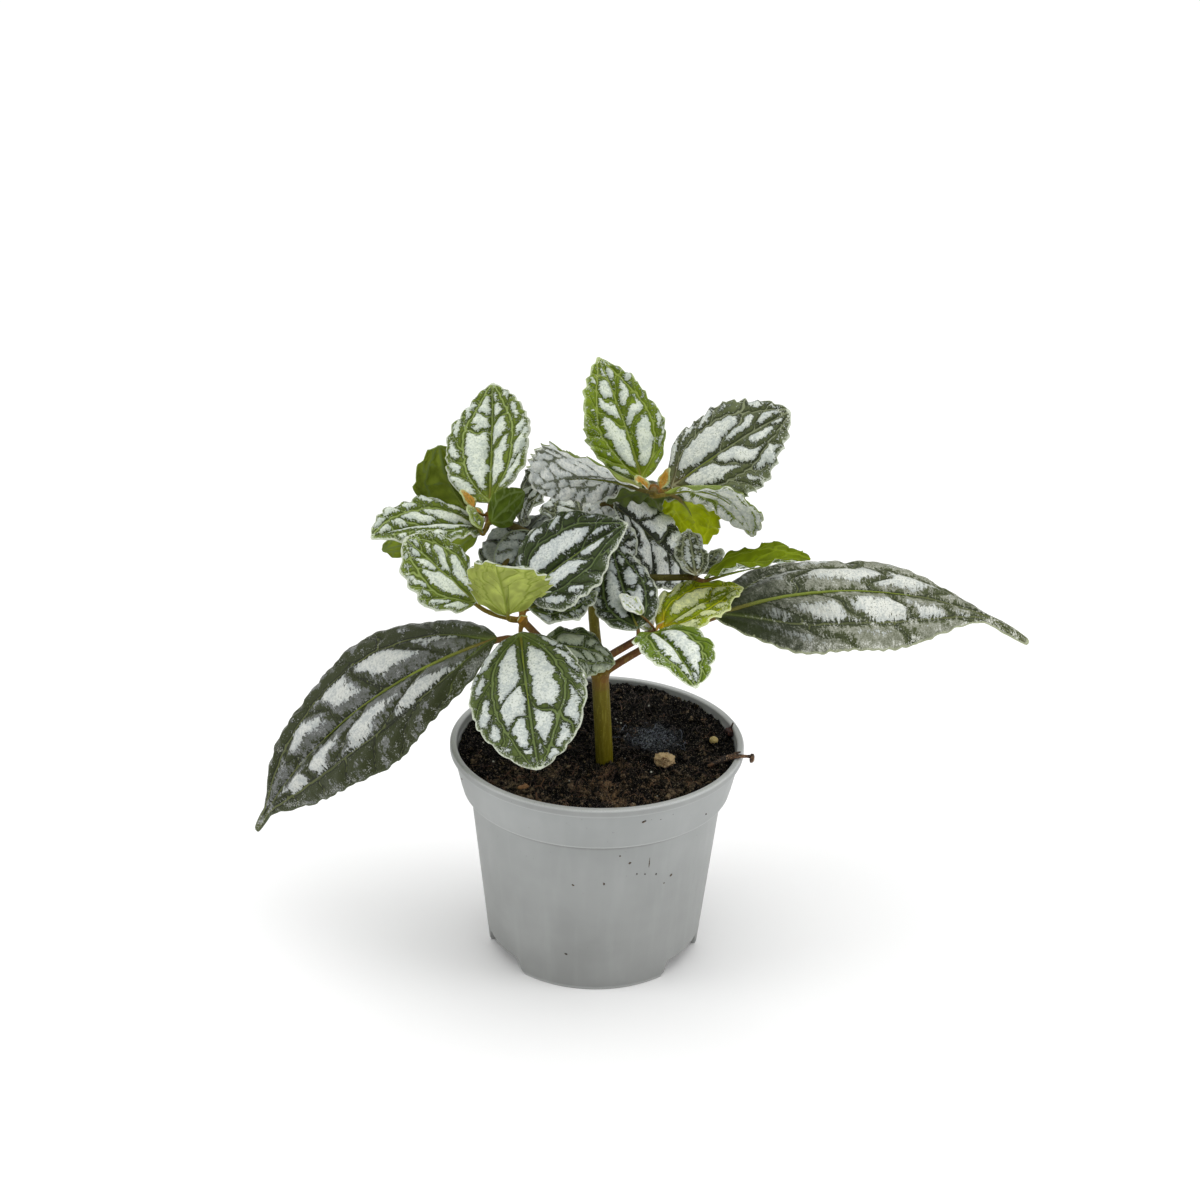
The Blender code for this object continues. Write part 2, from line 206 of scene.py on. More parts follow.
def strandMesh(name, strands, resolution):
    # round strands as one mesh: each is a list of (point in mm, radius in mm)
    curve = bpy.data.curves.new(name, "CURVE")
    curve.dimensions = "3D"
    curve.bevel_depth = mm
    curve.bevel_resolution = resolution
    curve.use_fill_caps = True
    for strand in strands:
        spline = curve.splines.new("POLY")
        spline.points.add(len(strand) - 1)
        for spot, (point, radius) in zip(spline.points, strand):
            spot.co = (*[value * mm for value in point], 1)
            spot.radius = radius
    return evaluated(addObject(name, curve), name)


def swirl(x, y, z):
    return noise.noise(Vector((x, y, z)))


def roughen(dice, verts, amount):
    # moves each corner a random way, in mm
    for vert in verts:
        vert.co += Vector((dice.gauss(0, 1), dice.gauss(0, 1), dice.gauss(0, 1))) * amount * mm


def easeBetween(low, high, value):
    share = np.clip((value - low) / (high - low), 0, 1)
    return share * share * (3 - 2 * share)


# The plant's plan, the same as the model's: joints and runs of the stem, and the leaves.

joints = {  # place and swelling radius in mm, and how orange it is
    "soil": ((2.4, -10, 66), 2.8, 0.0),
    "lowest": ((0.5, -10, 95.5), 3.4, 0.25),
    "fork": ((-3, -6, 128), 2.1, 0.1),
    "leftLow": ((-22, -1, 137), 1.5, 0.1),
    "leftTip": ((-33, 2, 141), 1.9, 0.8),
    "topLow": ((-2.5, 7, 142), 1.6, 0.05),
    "topTip": ((15, 2, 150.5), 2.0, 1.0),
    "frontLow": ((-13, -22, 109), 1.7, 0.1),
    "frontTip": ((-22, -28, 121), 2.0, 0.5),
    "lowTip": ((15, -22, 115.5), 1.9, 1.0),
    "rightTip": ((27, -10.5, 128), 1.5, 0.1),
}
runs = (  # what each length of stem passes, its radius at both ends, how brown it is, and how dark with painted shade
    (((2.4, -10, 54.6), "soil", "lowest"), 2.8, 2.7, 0.1, 0.1),
    (("lowest", (-1.5, -9, 111), "fork"), 1.8, 1.5, 0.1, 0.3),
    (("fork", (-12, -4, 133), "leftLow", "leftTip"), 1.4, 1.1, 0.2, 0.8),
    (("fork", (-3, 1, 135), "topLow", (4, 8, 147.3), "topTip"), 1.4, 1.2, 0.0, 0.9),
    (((0.2, -10, 99.5), (-3, -17, 103), "frontLow", "frontTip"), 1.4, 1.1, 0.7, 0.1),
    (((0.2, -10, 99.5), (5, -16, 106), "lowTip"), 1.3, 1.1, 0.9, 0.1),
    (("fork", (8, -11, 128), (18, -11.5, 128), "rightTip"), 1.2, 1.0, 0.0, 0.85),
)
shaded = ("left_8", "back", "top_3", "top_6", "top_7", "right_2", "right_3")  # stalks in the bush's shade, darkened with painted shade
bends = {  # where a stalk that goes round something bends
    "old_left": (-18, -12, 109), "old_right": (15, -8, 106), "left_4": (-31, -7, 142),
    "low_3": (10.5, -32.5, 113.5), "low_4": (18, -33, 119.5),
}
leafRow = namedtuple("leafRow", "joint foot course roll size fold look")
leaves = {  # joint; blade foot; heading, rise, droop, sweep; roll, twist; length, width; V fold; look
    "old_left": ("lowest", (-30, -16, 109.5), (173, -22, 42, 4), (19, 32), (105, 47), 22, "old"),
    "old_right": ("lowest", (33.5, -10, 115.5), (31, 9, 34, -34), (-18, -6), (106, 42), 9, "weathered"),
    "back": ("fork", (-4, 4, 127), (97, 28, 38, 0), (0, 0), (42, 26), 12, "grey"),
    "left_1": ("leftTip", (-33, 0.5, 145.5), (90, 40, 7, 3), (29, -11), (43, 28.5), 30, "fresh"),
    "left_2": ("leftTip", (-35, -1, 137.5), (199, 17, 22, 19), (8, 2), (35.5, 24.5), 32, "fresh"),
    "left_3": ("leftTip", (-40.5, 22, 135), (194, 50, -35, 10), (-75, -5), (23.5, 22), 9, "deep"),
    "left_4": ("leftTip", (-32, -9.5, 143.5), (50, 24, 11, 3), (-69, -8), (15.5, 11), 7, "shady"),
    "left_5": ("leftTip", (-36.5, 3, 135), (177, -5, 17, -1), (-75, 0), (29.5, 17), 12, "deep"),
    "left_6": ("leftTip", (-35, -9.5, 141), (125, 44, 8, -1), (-28, 6), (8.5, 6), 25, "lime"),
    "left_7": ("leftTip", (-37.5, -2, 145), (130, 38, 12, -1), (-21, 5), (7, 5), 25, "bud"),
    "left_8": ("leftLow", (-30.5, -6, 126), (63, 29, 26, 2), (0, 5), (31.5, 23.5), 12, "dusk"),
    "top_1": ("topTip", (11.5, 4, 152.5), (127, 62, 12, 3), (3, 3), (38.5, 27), 16, "lime"),
    "top_2": ("topTip", (20.5, 10, 148), (9, 39, 9, -8), (-27, -6), (41.5, 36), 12, "grey"),
    "top_3": ("topTip", (10.5, -16, 157.5), (154, 9, 42, -5), (-19, -53), (37, 31.5), 22, "silver"),
    "top_4": ("topTip", (18, -14.5, 155.5), (20, 11, 86, 5), (27, 0), (36, 22), 12, "mint"),
    "top_5": ("topTip", (23.5, 12, 143.5), (64, -34, 40, -5), (6, 1), (25, 18), 19, "glow"),
    "top_6": ("topLow", (3.5, 2.2, 144.9), (19, -39, 16, -4), (-17, -29), (38, 30.5), 13, "slate"),
    "top_7": ("topLow", (-10.5, 11, 151.5), (180, -9, 88, 6), (9, 7), (24.5, 18.5), 24, "grey"),
    "top_8": ("topTip", (15.5, 11.5, 148), (73, -10, 66, 0), (0, 0), (30, 21), 12, "grey"),
    "front_1": ("frontTip", (-21.5, -24.5, 127.5), (11, 43, 14, -7), (-22, 1), (36, 35.5), 23, "dark"),
    "front_2": ("frontTip", (-35, -32.6, 128.3), (175, 45, 6, -5), (8, 21), (27, 27.5), 13, "fresh"),
    "front_3": ("frontTip", (-26, -32.5, 124.5), (-83, 63, 8, -9), (-2, 12), (23.5, 24), 30, "pale"),
    "front_4": ("frontTip", (-22.5, -30, 118), (-84, -21, 26, 9), (-16, 2), (44.5, 33.5), 11, "green"),
    "front_5": ("frontTip", (-20.5, -26, 124), (16, 8, 1, 4), (-11, -1), (21, 17), 9, "green"),
    "front_6": ("frontLow", (-15.5, -29.2, 113.4), (17, 3, 46, 2), (-17, -15), (23.5, 18.5), 10, "muted"),
    "right_1": ("rightTip", (30.5, -14, 129), (-17, 26, 16, 0), (4, 0), (32, 22), 35, "lit"),
    "right_2": ("rightTip", (27.5, -14, 130), (99, 34, 7, -3), (-6, -2), (17, 10), 12, "grey"),
    "right_3": ("rightTip", (29, -8, 128.5), (49, 25, 2, 1), (-2, -1), (11, 7), 12, "grey"),
    "low_1": ("lowTip", (18, -22.6, 115.9), (32, 29, 17, -13), (0, 0), (28, 26), 28, "yellow"),
    "low_2": ("lowTip", (15, -30, 118.6), (-60, 13, 53, -2), (0, 10), (27, 23.5), 27, "scalloped"),
    "low_3": ("lowTip", (11, -31, 120.5), (112, 25, -11, -9), (14, 6), (30, 19.5), 5, "dark"),
    "low_4": ("lowTip", (12, -28, 123.5), (143, 25, -3, -4), (7, 3), (9, 6), 32, "mint"),
}
turned = ("top_3", "top_4", "right_1", "left_4")  # blades that have turned over on their stalks
oldLooks = ("old", "weathered")
# Angles in degrees, lengths in mm. Swell and taper are how the outline widens and narrows, and the map's
# size is the length that its square holds.
bladeShape = {
    "young": {"cell": 0.42, "curl": 18, "wave": 0.8, "quilt": 0.95, "quiltReach": 1.3, "ruffle": 0.45,
              "swell": 0.62, "taper": 0.8},
    "old": {"cell": 0.68, "curl": 26, "wave": 1.2, "quilt": 1.5, "quiltReach": 2.8, "ruffle": 0.3,
            "swell": 0.72, "taper": 0.95},
    "smallCell": 0.25, "smallLength": 12, "ruffleLength": 4.8, "endHalfWidth": 0.45, "thickness": 0.34,
    "mapSize": 110,
}
tails = {  # drip tips: share of the length, half-width in mm, how fast they taper, mm that they hang
    "old": (0.07, 4.0, 0.36, 0.0), "weathered": (0.125, 3.0, 0.2, 2.8),
}
midribShift = {"front_3": 3.2}  # mm, at the tip, where one half is wider than the other
ownTeeth = {"left_3": (4.2, 1.4, 1.0)}  # as in the looks below
tipTaper = {  # the taper of some young blades; higher is narrower
    "left_1": 0.92, "top_1": 0.92, "front_1": 0.95, "low_1": 0.9, "front_4": 0.72, "front_3": 0.5,
}

# Each kind of blade: the kind that it is like, and what differs. Colours are 0 to 255. Teeth: spacing and
# depth in mm, and how pointed. Veins: half-widths in mm, on a blade 30 mm wide, of the green bands on the
# midrib at its two ends, on the lateral veins and across; rows of patches inside and outside the lateral
# veins; where those run; how much the outer patches grow; how the rows lean; and the first row.
lookPlan = (
    ("green", None, {
        "Green": (84, 99, 44), "Shade": (36, 46, 16), "Silver": (216, 221, 213), "Sheen": (124, 134, 108),
        "Rim": (208, 214, 196), "Vein": (110, 126, 72), "Blush": (104, 124, 34), "Leaf": (128, 146, 70),
        "Reach": -0.02, "Ragged": 0.7, "Speckle": 0.8, "Gloss": 0.42, "Sheen Amount": 0.12,
        "Blush Amount": 0.5, "teeth": (4.6, 1.0, 0.1),
        "veins": ((1.6, 0.8), 1.45, 0.5, 4.4, 6, 0.6, -0.2, 0.8, 2)}),
    ("old", None, {
        "Green": (50, 56, 27), "Shade": (16, 20, 6), "Silver": (204, 206, 200), "Sheen": (128, 130, 130),
        "Rim": (74, 82, 54), "Vein": (92, 98, 56), "Blush": (88, 106, 14), "Leaf": (96, 110, 64),
        "Reach": -0.1, "Ragged": 1.7, "Speckle": 0.5, "Gloss": 0.34, "Sheen Amount": 0.62,
        "Blush Amount": 0.6, "teeth": (8.5, 0.8, 0.3),
        "veins": ((0.7, 0.45), 0.5, 2.3, 5.2, 7, 0.62, -2.6, 1.1, 1)}),
    ("weathered", "old", {
        "Green": (72, 79, 46), "Shade": (28, 36, 12), "Sheen": (160, 162, 147), "Rim": (166, 172, 138),
        "Reach": 0.0, "Silver": (226, 228, 219), "Speckle": 0.9, "Sheen Amount": 0.76, "Foot Shade": 0.95,
        "teeth": (7.0, 0.6, 0.3), "veins": ((0.7, 0.45), 0.45, 1.9, 5.2, 4, 0.6, -2.0, 1.1, 1)}),
    ("dark", "green", {
        "Green": (54, 68, 28), "Shade": (18, 25, 5), "Vein": (98, 114, 68), "Blush": (56, 70, 18),
        "Silver": (222, 227, 222), "Reach": -0.1,
        "teeth": (4.2, 0.7, 0.3), "veins": ((2.0, 0.9), 1.5, 0.45, 3.8, 6, 0.6, -0.5, 0.8, 2)}),
    ("fresh", "green", {
        "Green": (106, 124, 34), "Shade": (58, 72, 6), "Silver": (222, 229, 212), "Vein": (140, 156, 88),
        "Blush": (126, 138, 30), "Reach": -0.04,
        "teeth": (3.7, 0.8, 0.5), "veins": ((1.55, 0.8), 1.4, 0.65, 4.8, 6, 0.6, -0.1, 0.9, 2)}),
    ("scalloped", "fresh", {
        "Green": (96, 120, 12), "Shade": (50, 68, 0), "Rim": (232, 238, 216), "Silver": (234, 239, 228),
        "Reach": -0.1, "teeth": (5.0, 1.4, 0.1),
        "veins": ((1.6, 0.8), 1.3, 0.4, 2.6, 6, 0.62, -1.9, 0.7, 2)}),
    ("lime", "fresh", {
        "Green": (114, 136, 10), "Shade": (72, 90, 0), "Rim": (182, 196, 140), "Vein": (142, 156, 76),
        "Blush": (140, 150, 16), "Reach": 0.0,
        "teeth": (3.3, 0.8, 0.8), "veins": ((1.3, 0.8), 1.2, 0.95, 5.4, 8, 0.64, -0.3, 1.1, 2)}),
    ("yellow", "lime", {
        "Green": (160, 178, 0), "Shade": (104, 120, 0), "Silver": (246, 251, 186), "Vein": (216, 216, 40),
        "Blush": (220, 176, 10), "Blush Amount": 0.9, "Reach": -0.1, "Rim": (226, 234, 170),
        "teeth": (4.4, 1.0, 0.5), "veins": ((1.5, 0.8), 1.5, 0.5, 3.6, 5, 0.52, -0.2, 0.8, 2)}),
    ("mint", "fresh", {
        "Green": (140, 158, 66), "Shade": (96, 114, 24), "Silver": (253, 255, 248),
        "Rim": (252, 255, 240), "Vein": (176, 190, 120), "Reach": 0.6, "Speckle": 0.4,
        "teeth": (3.4, 1.2, 0.5)}),
    ("pale", "fresh", {"Leaf": (190, 202, 104), "Vein": (116, 132, 34), "teeth": (2.9, 2.2, 1.0)}),
    ("lit", "fresh", {"Leaf": (112, 130, 0), "Vein": (124, 142, 16), "teeth": (4.2, 1.4, 1.0)}),
    # glow's leaf colour is painted light, for light that comes through the blade
    ("glow", "fresh", {"Leaf": (200, 217, 12), "Vein": (206, 220, 40), "teeth": (3.6, 1.0, 0.8)}),
    ("deep", "green", {"Leaf": (138, 156, 50), "Rim": (130, 146, 80), "teeth": (3.8, 1.1, 0.9)}),
    ("shady", "deep", {"Leaf": (84, 104, 22)}),
    ("grey", "green", {
        "Green": (94, 102, 64), "Shade": (46, 52, 30), "Silver": (224, 228, 218),
        "Vein": (138, 144, 112), "Blush": (176, 118, 46), "Blush Amount": 0.12,
        "Reach": -0.12, "Speckle": 0.9, "Sheen Amount": 0.2,
        "teeth": (3.2, 1.6, 1.0), "veins": ((1.6, 0.8), 1.3, 0.65, 4.6, 6, 0.62, -0.1, 0.9, 2)}),
    ("slate", "grey", {
        "Green": (46, 53, 33), "Shade": (12, 16, 7), "Silver": (232, 235, 230), "Vein": (80, 88, 62),
        "Blush": (60, 72, 20), "Leaf": (92, 106, 46), "Reach": 0.1,
        "teeth": (3.6, 0.9, 0.6), "veins": ((2.1, 1.2), 0.3, 0.75, 4.6, 7, 0.98, -0.1, 0.5, 1)}),
    ("dusk", "slate", {
        "Green": (44, 54, 26), "Silver": (150, 156, 146), "Rim": (126, 136, 108),
        "teeth": (3.6, 0.8, 0.5)}),
    ("muted", "fresh", {
        "Green": (90, 106, 56), "Shade": (42, 54, 22), "Silver": (184, 192, 168), "Rim": (176, 186, 152),
        "Vein": (116, 130, 80), "Reach": 0.15, "Speckle": 0.9, "teeth": (3.6, 0.8, 0.5)}),
    ("silver", "grey", {
        "Green": (130, 136, 116), "Shade": (96, 102, 84), "Silver": (246, 248, 242),
        "Sheen": (190, 194, 184), "Rim": (240, 242, 232), "Vein": (132, 138, 118),
        "Reach": 0.6, "Speckle": 0.5, "Sheen Amount": 0.4,
        "teeth": (2.7, 1.8, 1.0), "veins": ((1.3, 0.6), 0.9, 0.75, 7.5, 8, 0.52, 0.1, 0.5, 1)}),
    ("bud", "yellow", {
        "Green": (176, 150, 40), "Shade": (150, 112, 24), "Silver": (210, 196, 110),
        "Rim": (182, 196, 140), "Vein": (190, 134, 50), "Leaf": (178, 140, 48),
        "Blush": (176, 118, 46), "Blush Amount": 0.8, "Reach": 0.0, "teeth": (2.0, 0.4, 0.5)}),
)
looks = {}
for name, like, own in lookPlan:
    looks[name] = {**looks.get(like, {}), **own}


# The blades' shapes.

def directions(heading, rise):
    flat = np.cos(rise)
    return np.stack([np.cos(heading) * flat, np.sin(heading) * flat, np.sin(rise)], -1)


def bladeAxes(leaf, u):
    # directions along, across and up from the blade at the shares u of its length
    heading, rise, droop, sweep = leaf.course
    turn = np.radians(heading + sweep * u)
    along = directions(turn, np.radians(rise - droop * u))
    level = np.stack([np.sin(turn), -np.cos(turn), 0 * turn], -1)
    up = np.cross(level, along)
    tilt = np.radians(leaf.roll[0] + leaf.roll[1] * u)[..., None]
    return along, level * np.cos(tilt) + up * np.sin(tilt), up * np.cos(tilt) - level * np.sin(tilt)


def midribPoints(leaf, u):
    heading, rise, droop, sweep = leaf.course
    steps = 60
    middle = (np.arange(steps) + 0.5) / steps
    moves = directions(np.radians(heading + sweep * middle), np.radians(rise - droop * middle))
    line = np.vstack([np.zeros(3), np.cumsum(moves, 0) * leaf.size[0] / steps]) + np.array(leaf.foot)
    share = np.linspace(0, 1, steps + 1)
    return np.stack([np.interp(u, share, line[:, i]) for i in range(3)], -1)


def uneven(u, v, finer, wider, seed):
    # smooth random values over the blade, from -1 to 1
    return np.array([swirl(x * finer, y * wider, seed) for x, y in zip(u, v)])


def halfWidths(name, leaf, u, v, seed):
    # half the blade's width and how far forward its teeth reach, in mm; an old leaf has a drip tip
    length, width = leaf.size
    shape = bladeShape["old" if leaf.look in oldLooks else "young"]
    rise, fall = shape["swell"], tipTaper.get(name, shape["taper"])
    tailShare, tailWidth, tailTaper, _ = tails.get(leaf.look, (0, 0, 1, 0))
    share = np.minimum(u / (1 - tailShare), 1)
    widest = rise / (rise + fall)
    body = (share / widest) ** rise * ((1 - share) / (1 - widest)) ** fall * width / 2
    spacing, depth, pointed = ownTeeth.get(name, looks[leaf.look]["teeth"])
    depth = depth * min(1, width / 20)
    side = np.where(v > 0, 1.0, 0.0)
    drift = np.array([swirl(x * 4, seed * 3.7 + y * 9, 0.5) for x, y in zip(u, side)])
    place = length / spacing * u + 0.6 * drift + 0.4 * side
    phase = place % 1.0
    rounded = np.sin(np.pi * phase ** 1.6) ** 0.45 - 0.75
    sharp = phase ** 1.3 * (1 - easeBetween(0.82, 1, phase)) - 0.4
    sizes = np.random.default_rng(seed + 50).uniform(0.45, 1.25, 64)
    own = sizes[(place.astype(int) * 2 + side.astype(int)) % len(sizes)]
    lobe = (rounded * (1 - pointed) + sharp * 1.2 * pointed) * own
    body = body + depth * lobe * easeBetween(0.14, 0.34, u) * easeBetween(1.0, 0.95, u)
    forward = np.where(phase < 0.6, phase / 0.6, (1 - phase) / 0.4) * np.minimum(own, 1)
    push = min(0.36 * spacing, 1.1 * depth) * pointed * forward
    push = push * easeBetween(0.2, 0.4, u) * easeBetween(1.0, 0.92, u)
    tail = tailWidth * (1 - u) ** tailTaper * easeBetween(0.6, 0.92, u)
    return np.hypot(np.maximum(body, 0), bladeShape["endHalfWidth"] + tail), push


def softLeast(values, softness):
    # the least of several fields, with rounded corners where they meet
    stack = np.stack(values)
    least = stack.min(0)
    return least - softness * np.log(np.exp(-(stack - least) / softness).sum(0))


def rowLines(place, spacing, first):
    # distance to the line between two rows of patches, in mm; no line comes before the first
    line = np.round(place)
    return np.where(line < first, 9.0, np.abs(place - line) * spacing)


def veinFields(leaf, u, v, half, seed):
    # how far each point is inside a silver patch, inside its sheen, from a vein and from the margin, in mm
    bands, lateralWidth, crossWidth, rows, outerRows, at, outer, lean, first = looks[leaf.look]["veins"]
    isOld = leaf.look in oldLooks
    length, width = leaf.size
    size = 1.15 if isOld else min(1.25, max(0.45, width / 30))
    bend, shake, ripple = (uneven(u, v, finer, wider, seed * 5.1 + shift)
                           for finer, wider, shift in ((3, 1.6, 0), (9, 4, 40), (14, 2.2, 80)))
    distance = np.abs(v) * half
    side = np.where(v > 0, 1, -1)
    lateral = at * (1 - np.exp(-u / 0.09)) * (1 + 0.14 * bend) * (1 - 0.25 * easeBetween(0.55, 1, u))
    mid = np.abs(distance + 0.25 * shake * size)
    beside = np.abs(np.abs(v) - lateral) * half * 0.95
    inner = np.abs(v) < lateral
    spacing, spacingOut = length / rows, length / outerRows
    place = (u * length - distance * lean) / spacing + 0.3 * side + 0.3 * shake + 0.5 * bend
    outward = u * length - (distance - lateral * half) * 1.1
    outPlace = outward / spacingOut - 0.2 * side + 0.4 * bend + 0.3 * shake
    cross = np.where(inner, rowLines(place, spacing * 0.72, first),
                     rowLines(outPlace, spacingOut * 0.68, 1))
    midBand = (bands[0] + (bands[1] - bands[0]) * u) * size * (1 + 0.5 * ripple)
    lateralBand = lateralWidth * size * (1.1 - 0.5 * u) * (1 + 0.6 * ripple)
    edge = np.minimum((1 - np.abs(v)) * half, (1 - u) * length * 0.6)
    # each patch gets its own size
    chances = np.random.default_rng(seed).uniform(-0.55, 0.35, 64)
    index = np.where(inner, np.floor(place), np.floor(outPlace) + 16).astype(int) * 2 + (side > 0)
    own = chances[index % len(chances)] * size * np.where(inner, 0.8, 1.3)
    sheen = softLeast([mid - midBand, beside - lateralBand, cross - crossWidth * size * 0.5], 0.3 * size)
    sheen = np.where(inner, sheen, sheen - (2.6 if leaf.look == "old" else 0.2))
    toRib = mid - midBand - (5.6 * (1 - 0.75 * u) + 2.2 * bend + 1.2 * ripple if isOld else 0)
    margin = (edge - 1.0 * size) * 0.8
    cell = softLeast([toRib, beside - lateralBand, cross - crossWidth * size, margin], 0.3 * size)
    cell = cell + own + np.where(inner, 0, outer * size)
    cell = cell - (1 - easeBetween(0.02, 0.14, u)) * 1.2 * size
    vein = np.minimum(np.minimum(mid, beside * 1.2), cross * 1.6)
    return cell, sheen, vein, edge


def bladeMesh(name, leaf, seed):
    # one waved, quilted sheet with its fields; its thickness comes last
    isOld = leaf.look in oldLooks
    shape = bladeShape["old" if isOld else "young"]
    length, width = leaf.size
    isSmall = length <= bladeShape["smallLength"]
    cell = bladeShape["smallCell"] if isSmall else shape["cell"]
    bm = bmesh.new()
    bmesh.ops.create_grid(bm, x_segments=max(16, int(length / cell)),
                          y_segments=2 * max(5, int(width / cell / 2 * 0.9)), size=0.5)
    mesh = meshOf(bm, name)
    places = np.empty(len(mesh.vertices) * 3)
    mesh.vertices.foreach_get("co", places)
    places = places.reshape(-1, 3)
    flat = np.clip(places[:, 0] + 0.5, 0, 1)
    u = 0.6 * flat + 0.4 * (1 - np.cos(np.pi * flat)) / 2
    v = -2 * places[:, 1]
    half, push = halfWidths(name, leaf, u, v, seed)
    fieldValues = veinFields(leaf, u, v, half, seed)
    _, _, vein, edge = fieldValues
    angle = math.radians(leaf.fold) - math.radians(shape["curl"]) * np.abs(v)
    side = np.where(v > 0, 1, -1)
    wave = 0 if isSmall else shape["wave"]
    lift = wave * v * v * np.sin(math.tau * (2.5 * u + 0.25 * side)) * easeBetween(0, 0.25, u)
    turns = math.tau * u * length / bladeShape["ruffleLength"]
    ruffle = shape["ruffle"] * v ** 4 * np.sin(turns + seed + side)
    lift = lift + 0.35 * uneven(u, v, 7, 3, seed * 2.3) * min(1, width / 25) + ruffle
    quilt = shape["quilt"] * min(1, width / 24) * (-1 if name in turned else 1)
    reach = shape["quiltReach"]
    relief = quilt * (1 - np.exp(-(vein / reach) ** 2)) * easeBetween(0, reach, edge)
    lift = lift * easeBetween(1, 0.8, u) + (relief - 0.5 * quilt) * easeBetween(0.0, 0.08, u)
    lift = lift + half * np.abs(v) * np.sin(angle)
    along, across, up = bladeAxes(leaf, u)
    sideways = half * v * np.cos(angle) + midribShift.get(name, 0) * u * (1 - np.abs(v))
    spots = midribPoints(leaf, u) + across * sideways[:, None] + up * lift[:, None]
    spots = spots + along * (push * v ** 4)[:, None]
    spots[:, 2] -= tails[leaf.look][3] * (np.maximum(u - 0.8, 0) / 0.2) ** 1.5 if isOld else 0
    mesh.vertices.foreach_set("co", (spots * mm).ravel())
    for key, values in zip(("cell", "sheen", "vein", "edge", "along"), (*fieldValues, u)):
        setField(mesh, key, values)
    layer = mesh.uv_layers.new(name="leafMap")
    corners = np.empty(len(mesh.loops), np.int32)
    mesh.loops.foreach_get("vertex_index", corners)
    mapSize = bladeShape["mapSize"]
    flatMap = np.stack([u * length, v * half + mapSize / 2], -1) / mapSize
    layer.data.foreach_set("uv", flatMap[corners].astype(np.float32).ravel())
    return mesh


# The blades' finish: silver patches with ragged, speckled edges between green bands, and a pale margin.

def upperSideGroup():
    numbers = {"Reach": 0.0, "Ragged": 0.5, "Speckle": 0.5, "Sheen Amount": 0.2, "Blush Amount": 0.3,
               "Gloss": 0.45, "Foot Shade": 0.0}
    colors = ("Green", "Shade", "Silver", "Dull", "Sheen", "Rim", "Vein", "Blush")
    tree, given, where = newGroup("upperSide", numbers, colors)
    cell, sheen, vein, edge, along = fields(tree, "cell", "sheen", "vein", "edge", "along")
    # grains a few tenths of a millimetre to a few millimetres wide, and combed ones across the midrib
    fine = grain(where, 1500, 3.0, 0.6) - 0.5
    speck = grain(where, 2300, 3.0, 0.65)
    broad = grain(where, 380) - 0.5
    flat = put(tree, "ShaderNodeUVMap", {}, "UV", uv_map="leafMap")
    comb = grain(stretched(flat, (150.0, 34.0, 1.0)), 1.0, 3.0, 0.6) - 0.5
    ragged = (fine * 2.2 + comb * 2.8 + broad * 2.2) * given["Ragged"]
    shake = ragged + (speck - 0.5) * given["Speckle"] * 2.0
    inside = cell + given["Reach"] + shake
    silverMask = step(inside, -0.12, 0.22)
    # green, darker beside the patches and lighter on the veins, with painted shade in creases either side of
    # each vein so that the veins look embossed
    dark = (step(inside, -1.0, -0.1) * 0.8 + broad * 1.6).clamped()
    green = blend(given["Green"], given["Shade"], dark)
    nearVein = vein + fine * 0.5
    # painted shade in the creases beside the veins
    green = blend(green, given["Shade"], step(nearVein, 0.3, 0.5) * step(nearVein, 0.6, 1.1, 0.8, 0.0))
    green = blend(green, given["Vein"], step(vein, 0.14, 0.5, 0.85, 0.0))
    patchy = step(fine + broad + (speck - 0.5), -0.4, 0.25, 0.3, 1.2)
    hazy = step(sheen + shake * 1.2, -0.1, 0.9) * patchy * given["Sheen Amount"]
    green = blend(green, given["Sheen"], hazy)
    stray = step(speck + step(edge, 0.6, 4.0, 0.09, 0.0) + broad * 0.6, 0.64, 0.72) * 0.8
    green = blend(green, given["Silver"], stray * given["Speckle"])
    # silver, with green freckles, duller places, and painted shade inside the patches' edges
    freckle = step(speck + fine * 0.5, 0.52, 0.68) * (given["Speckle"] * 0.75)
    silver = blend(given["Silver"], given["Green"], freckle)
    dull = broad * 1.2 + fine * 1.5 + step(inside, 0.1, 1.5, 0.16, 0.02)
    silver = blend(silver, given["Dull"], step(dull, -0.15, 0.35, 0.0, 0.75))
    body = blend(green, silver, silverMask)
    # painted shadow: weathered blades are dark toward the foot, where a blade above shades them
    low = step(along + shake * 0.05, 0.08, 0.42, 1.0, 0.0) * given["Foot Shade"]
    body = blend(body, given["Shade"], low * step(vein, 0.2, 0.7))
    # the pale margin, and the tint at the foot
    body = blend(body, given["Rim"], step(edge + fine * 1.6, 0.2, 0.75, 0.9, 0.0))
    nearFoot = step(along, 0.0, 0.22, 1.0, 0.0) * given["Blush Amount"]
    body = blend(body, given["Blush"], nearFoot * step(vein, 0.2, 1.6, 1.0, 0.25))
    height = fine * 0.6 + silverMask * 0.35 + speck * 0.35
    return closeGroup(tree, body, given["Gloss"] + speck * 0.16, height)


def lowerSideGroup():
    tree, given, where = newGroup("lowerSide", {"Blush Amount": 0.2}, ("Leaf", "Vein", "Shade", "Blush"))
    cell, vein, along = fields(tree, "cell", "vein", "along")
    fine = grain(where, 1500, 3.0, 0.6)
    body = blend(given["Leaf"], given["Shade"], step(grain(where, 200), 0.35, 0.65, 0.0, 0.7))
    body = blend(body, given["Shade"], step(cell, -0.4, 0.6, 0.3, 0.0))
    body = blend(body, given["Vein"], step(vein, 0.1, 0.5, 0.7, 0.0))
    body = blend(body, given["Blush"], step(along, 0.0, 0.2, 1.0, 0.0) * given["Blush Amount"])
    return closeGroup(tree, body, step(fine, 0.2, 0.8, 0.46, 0.62), fine)


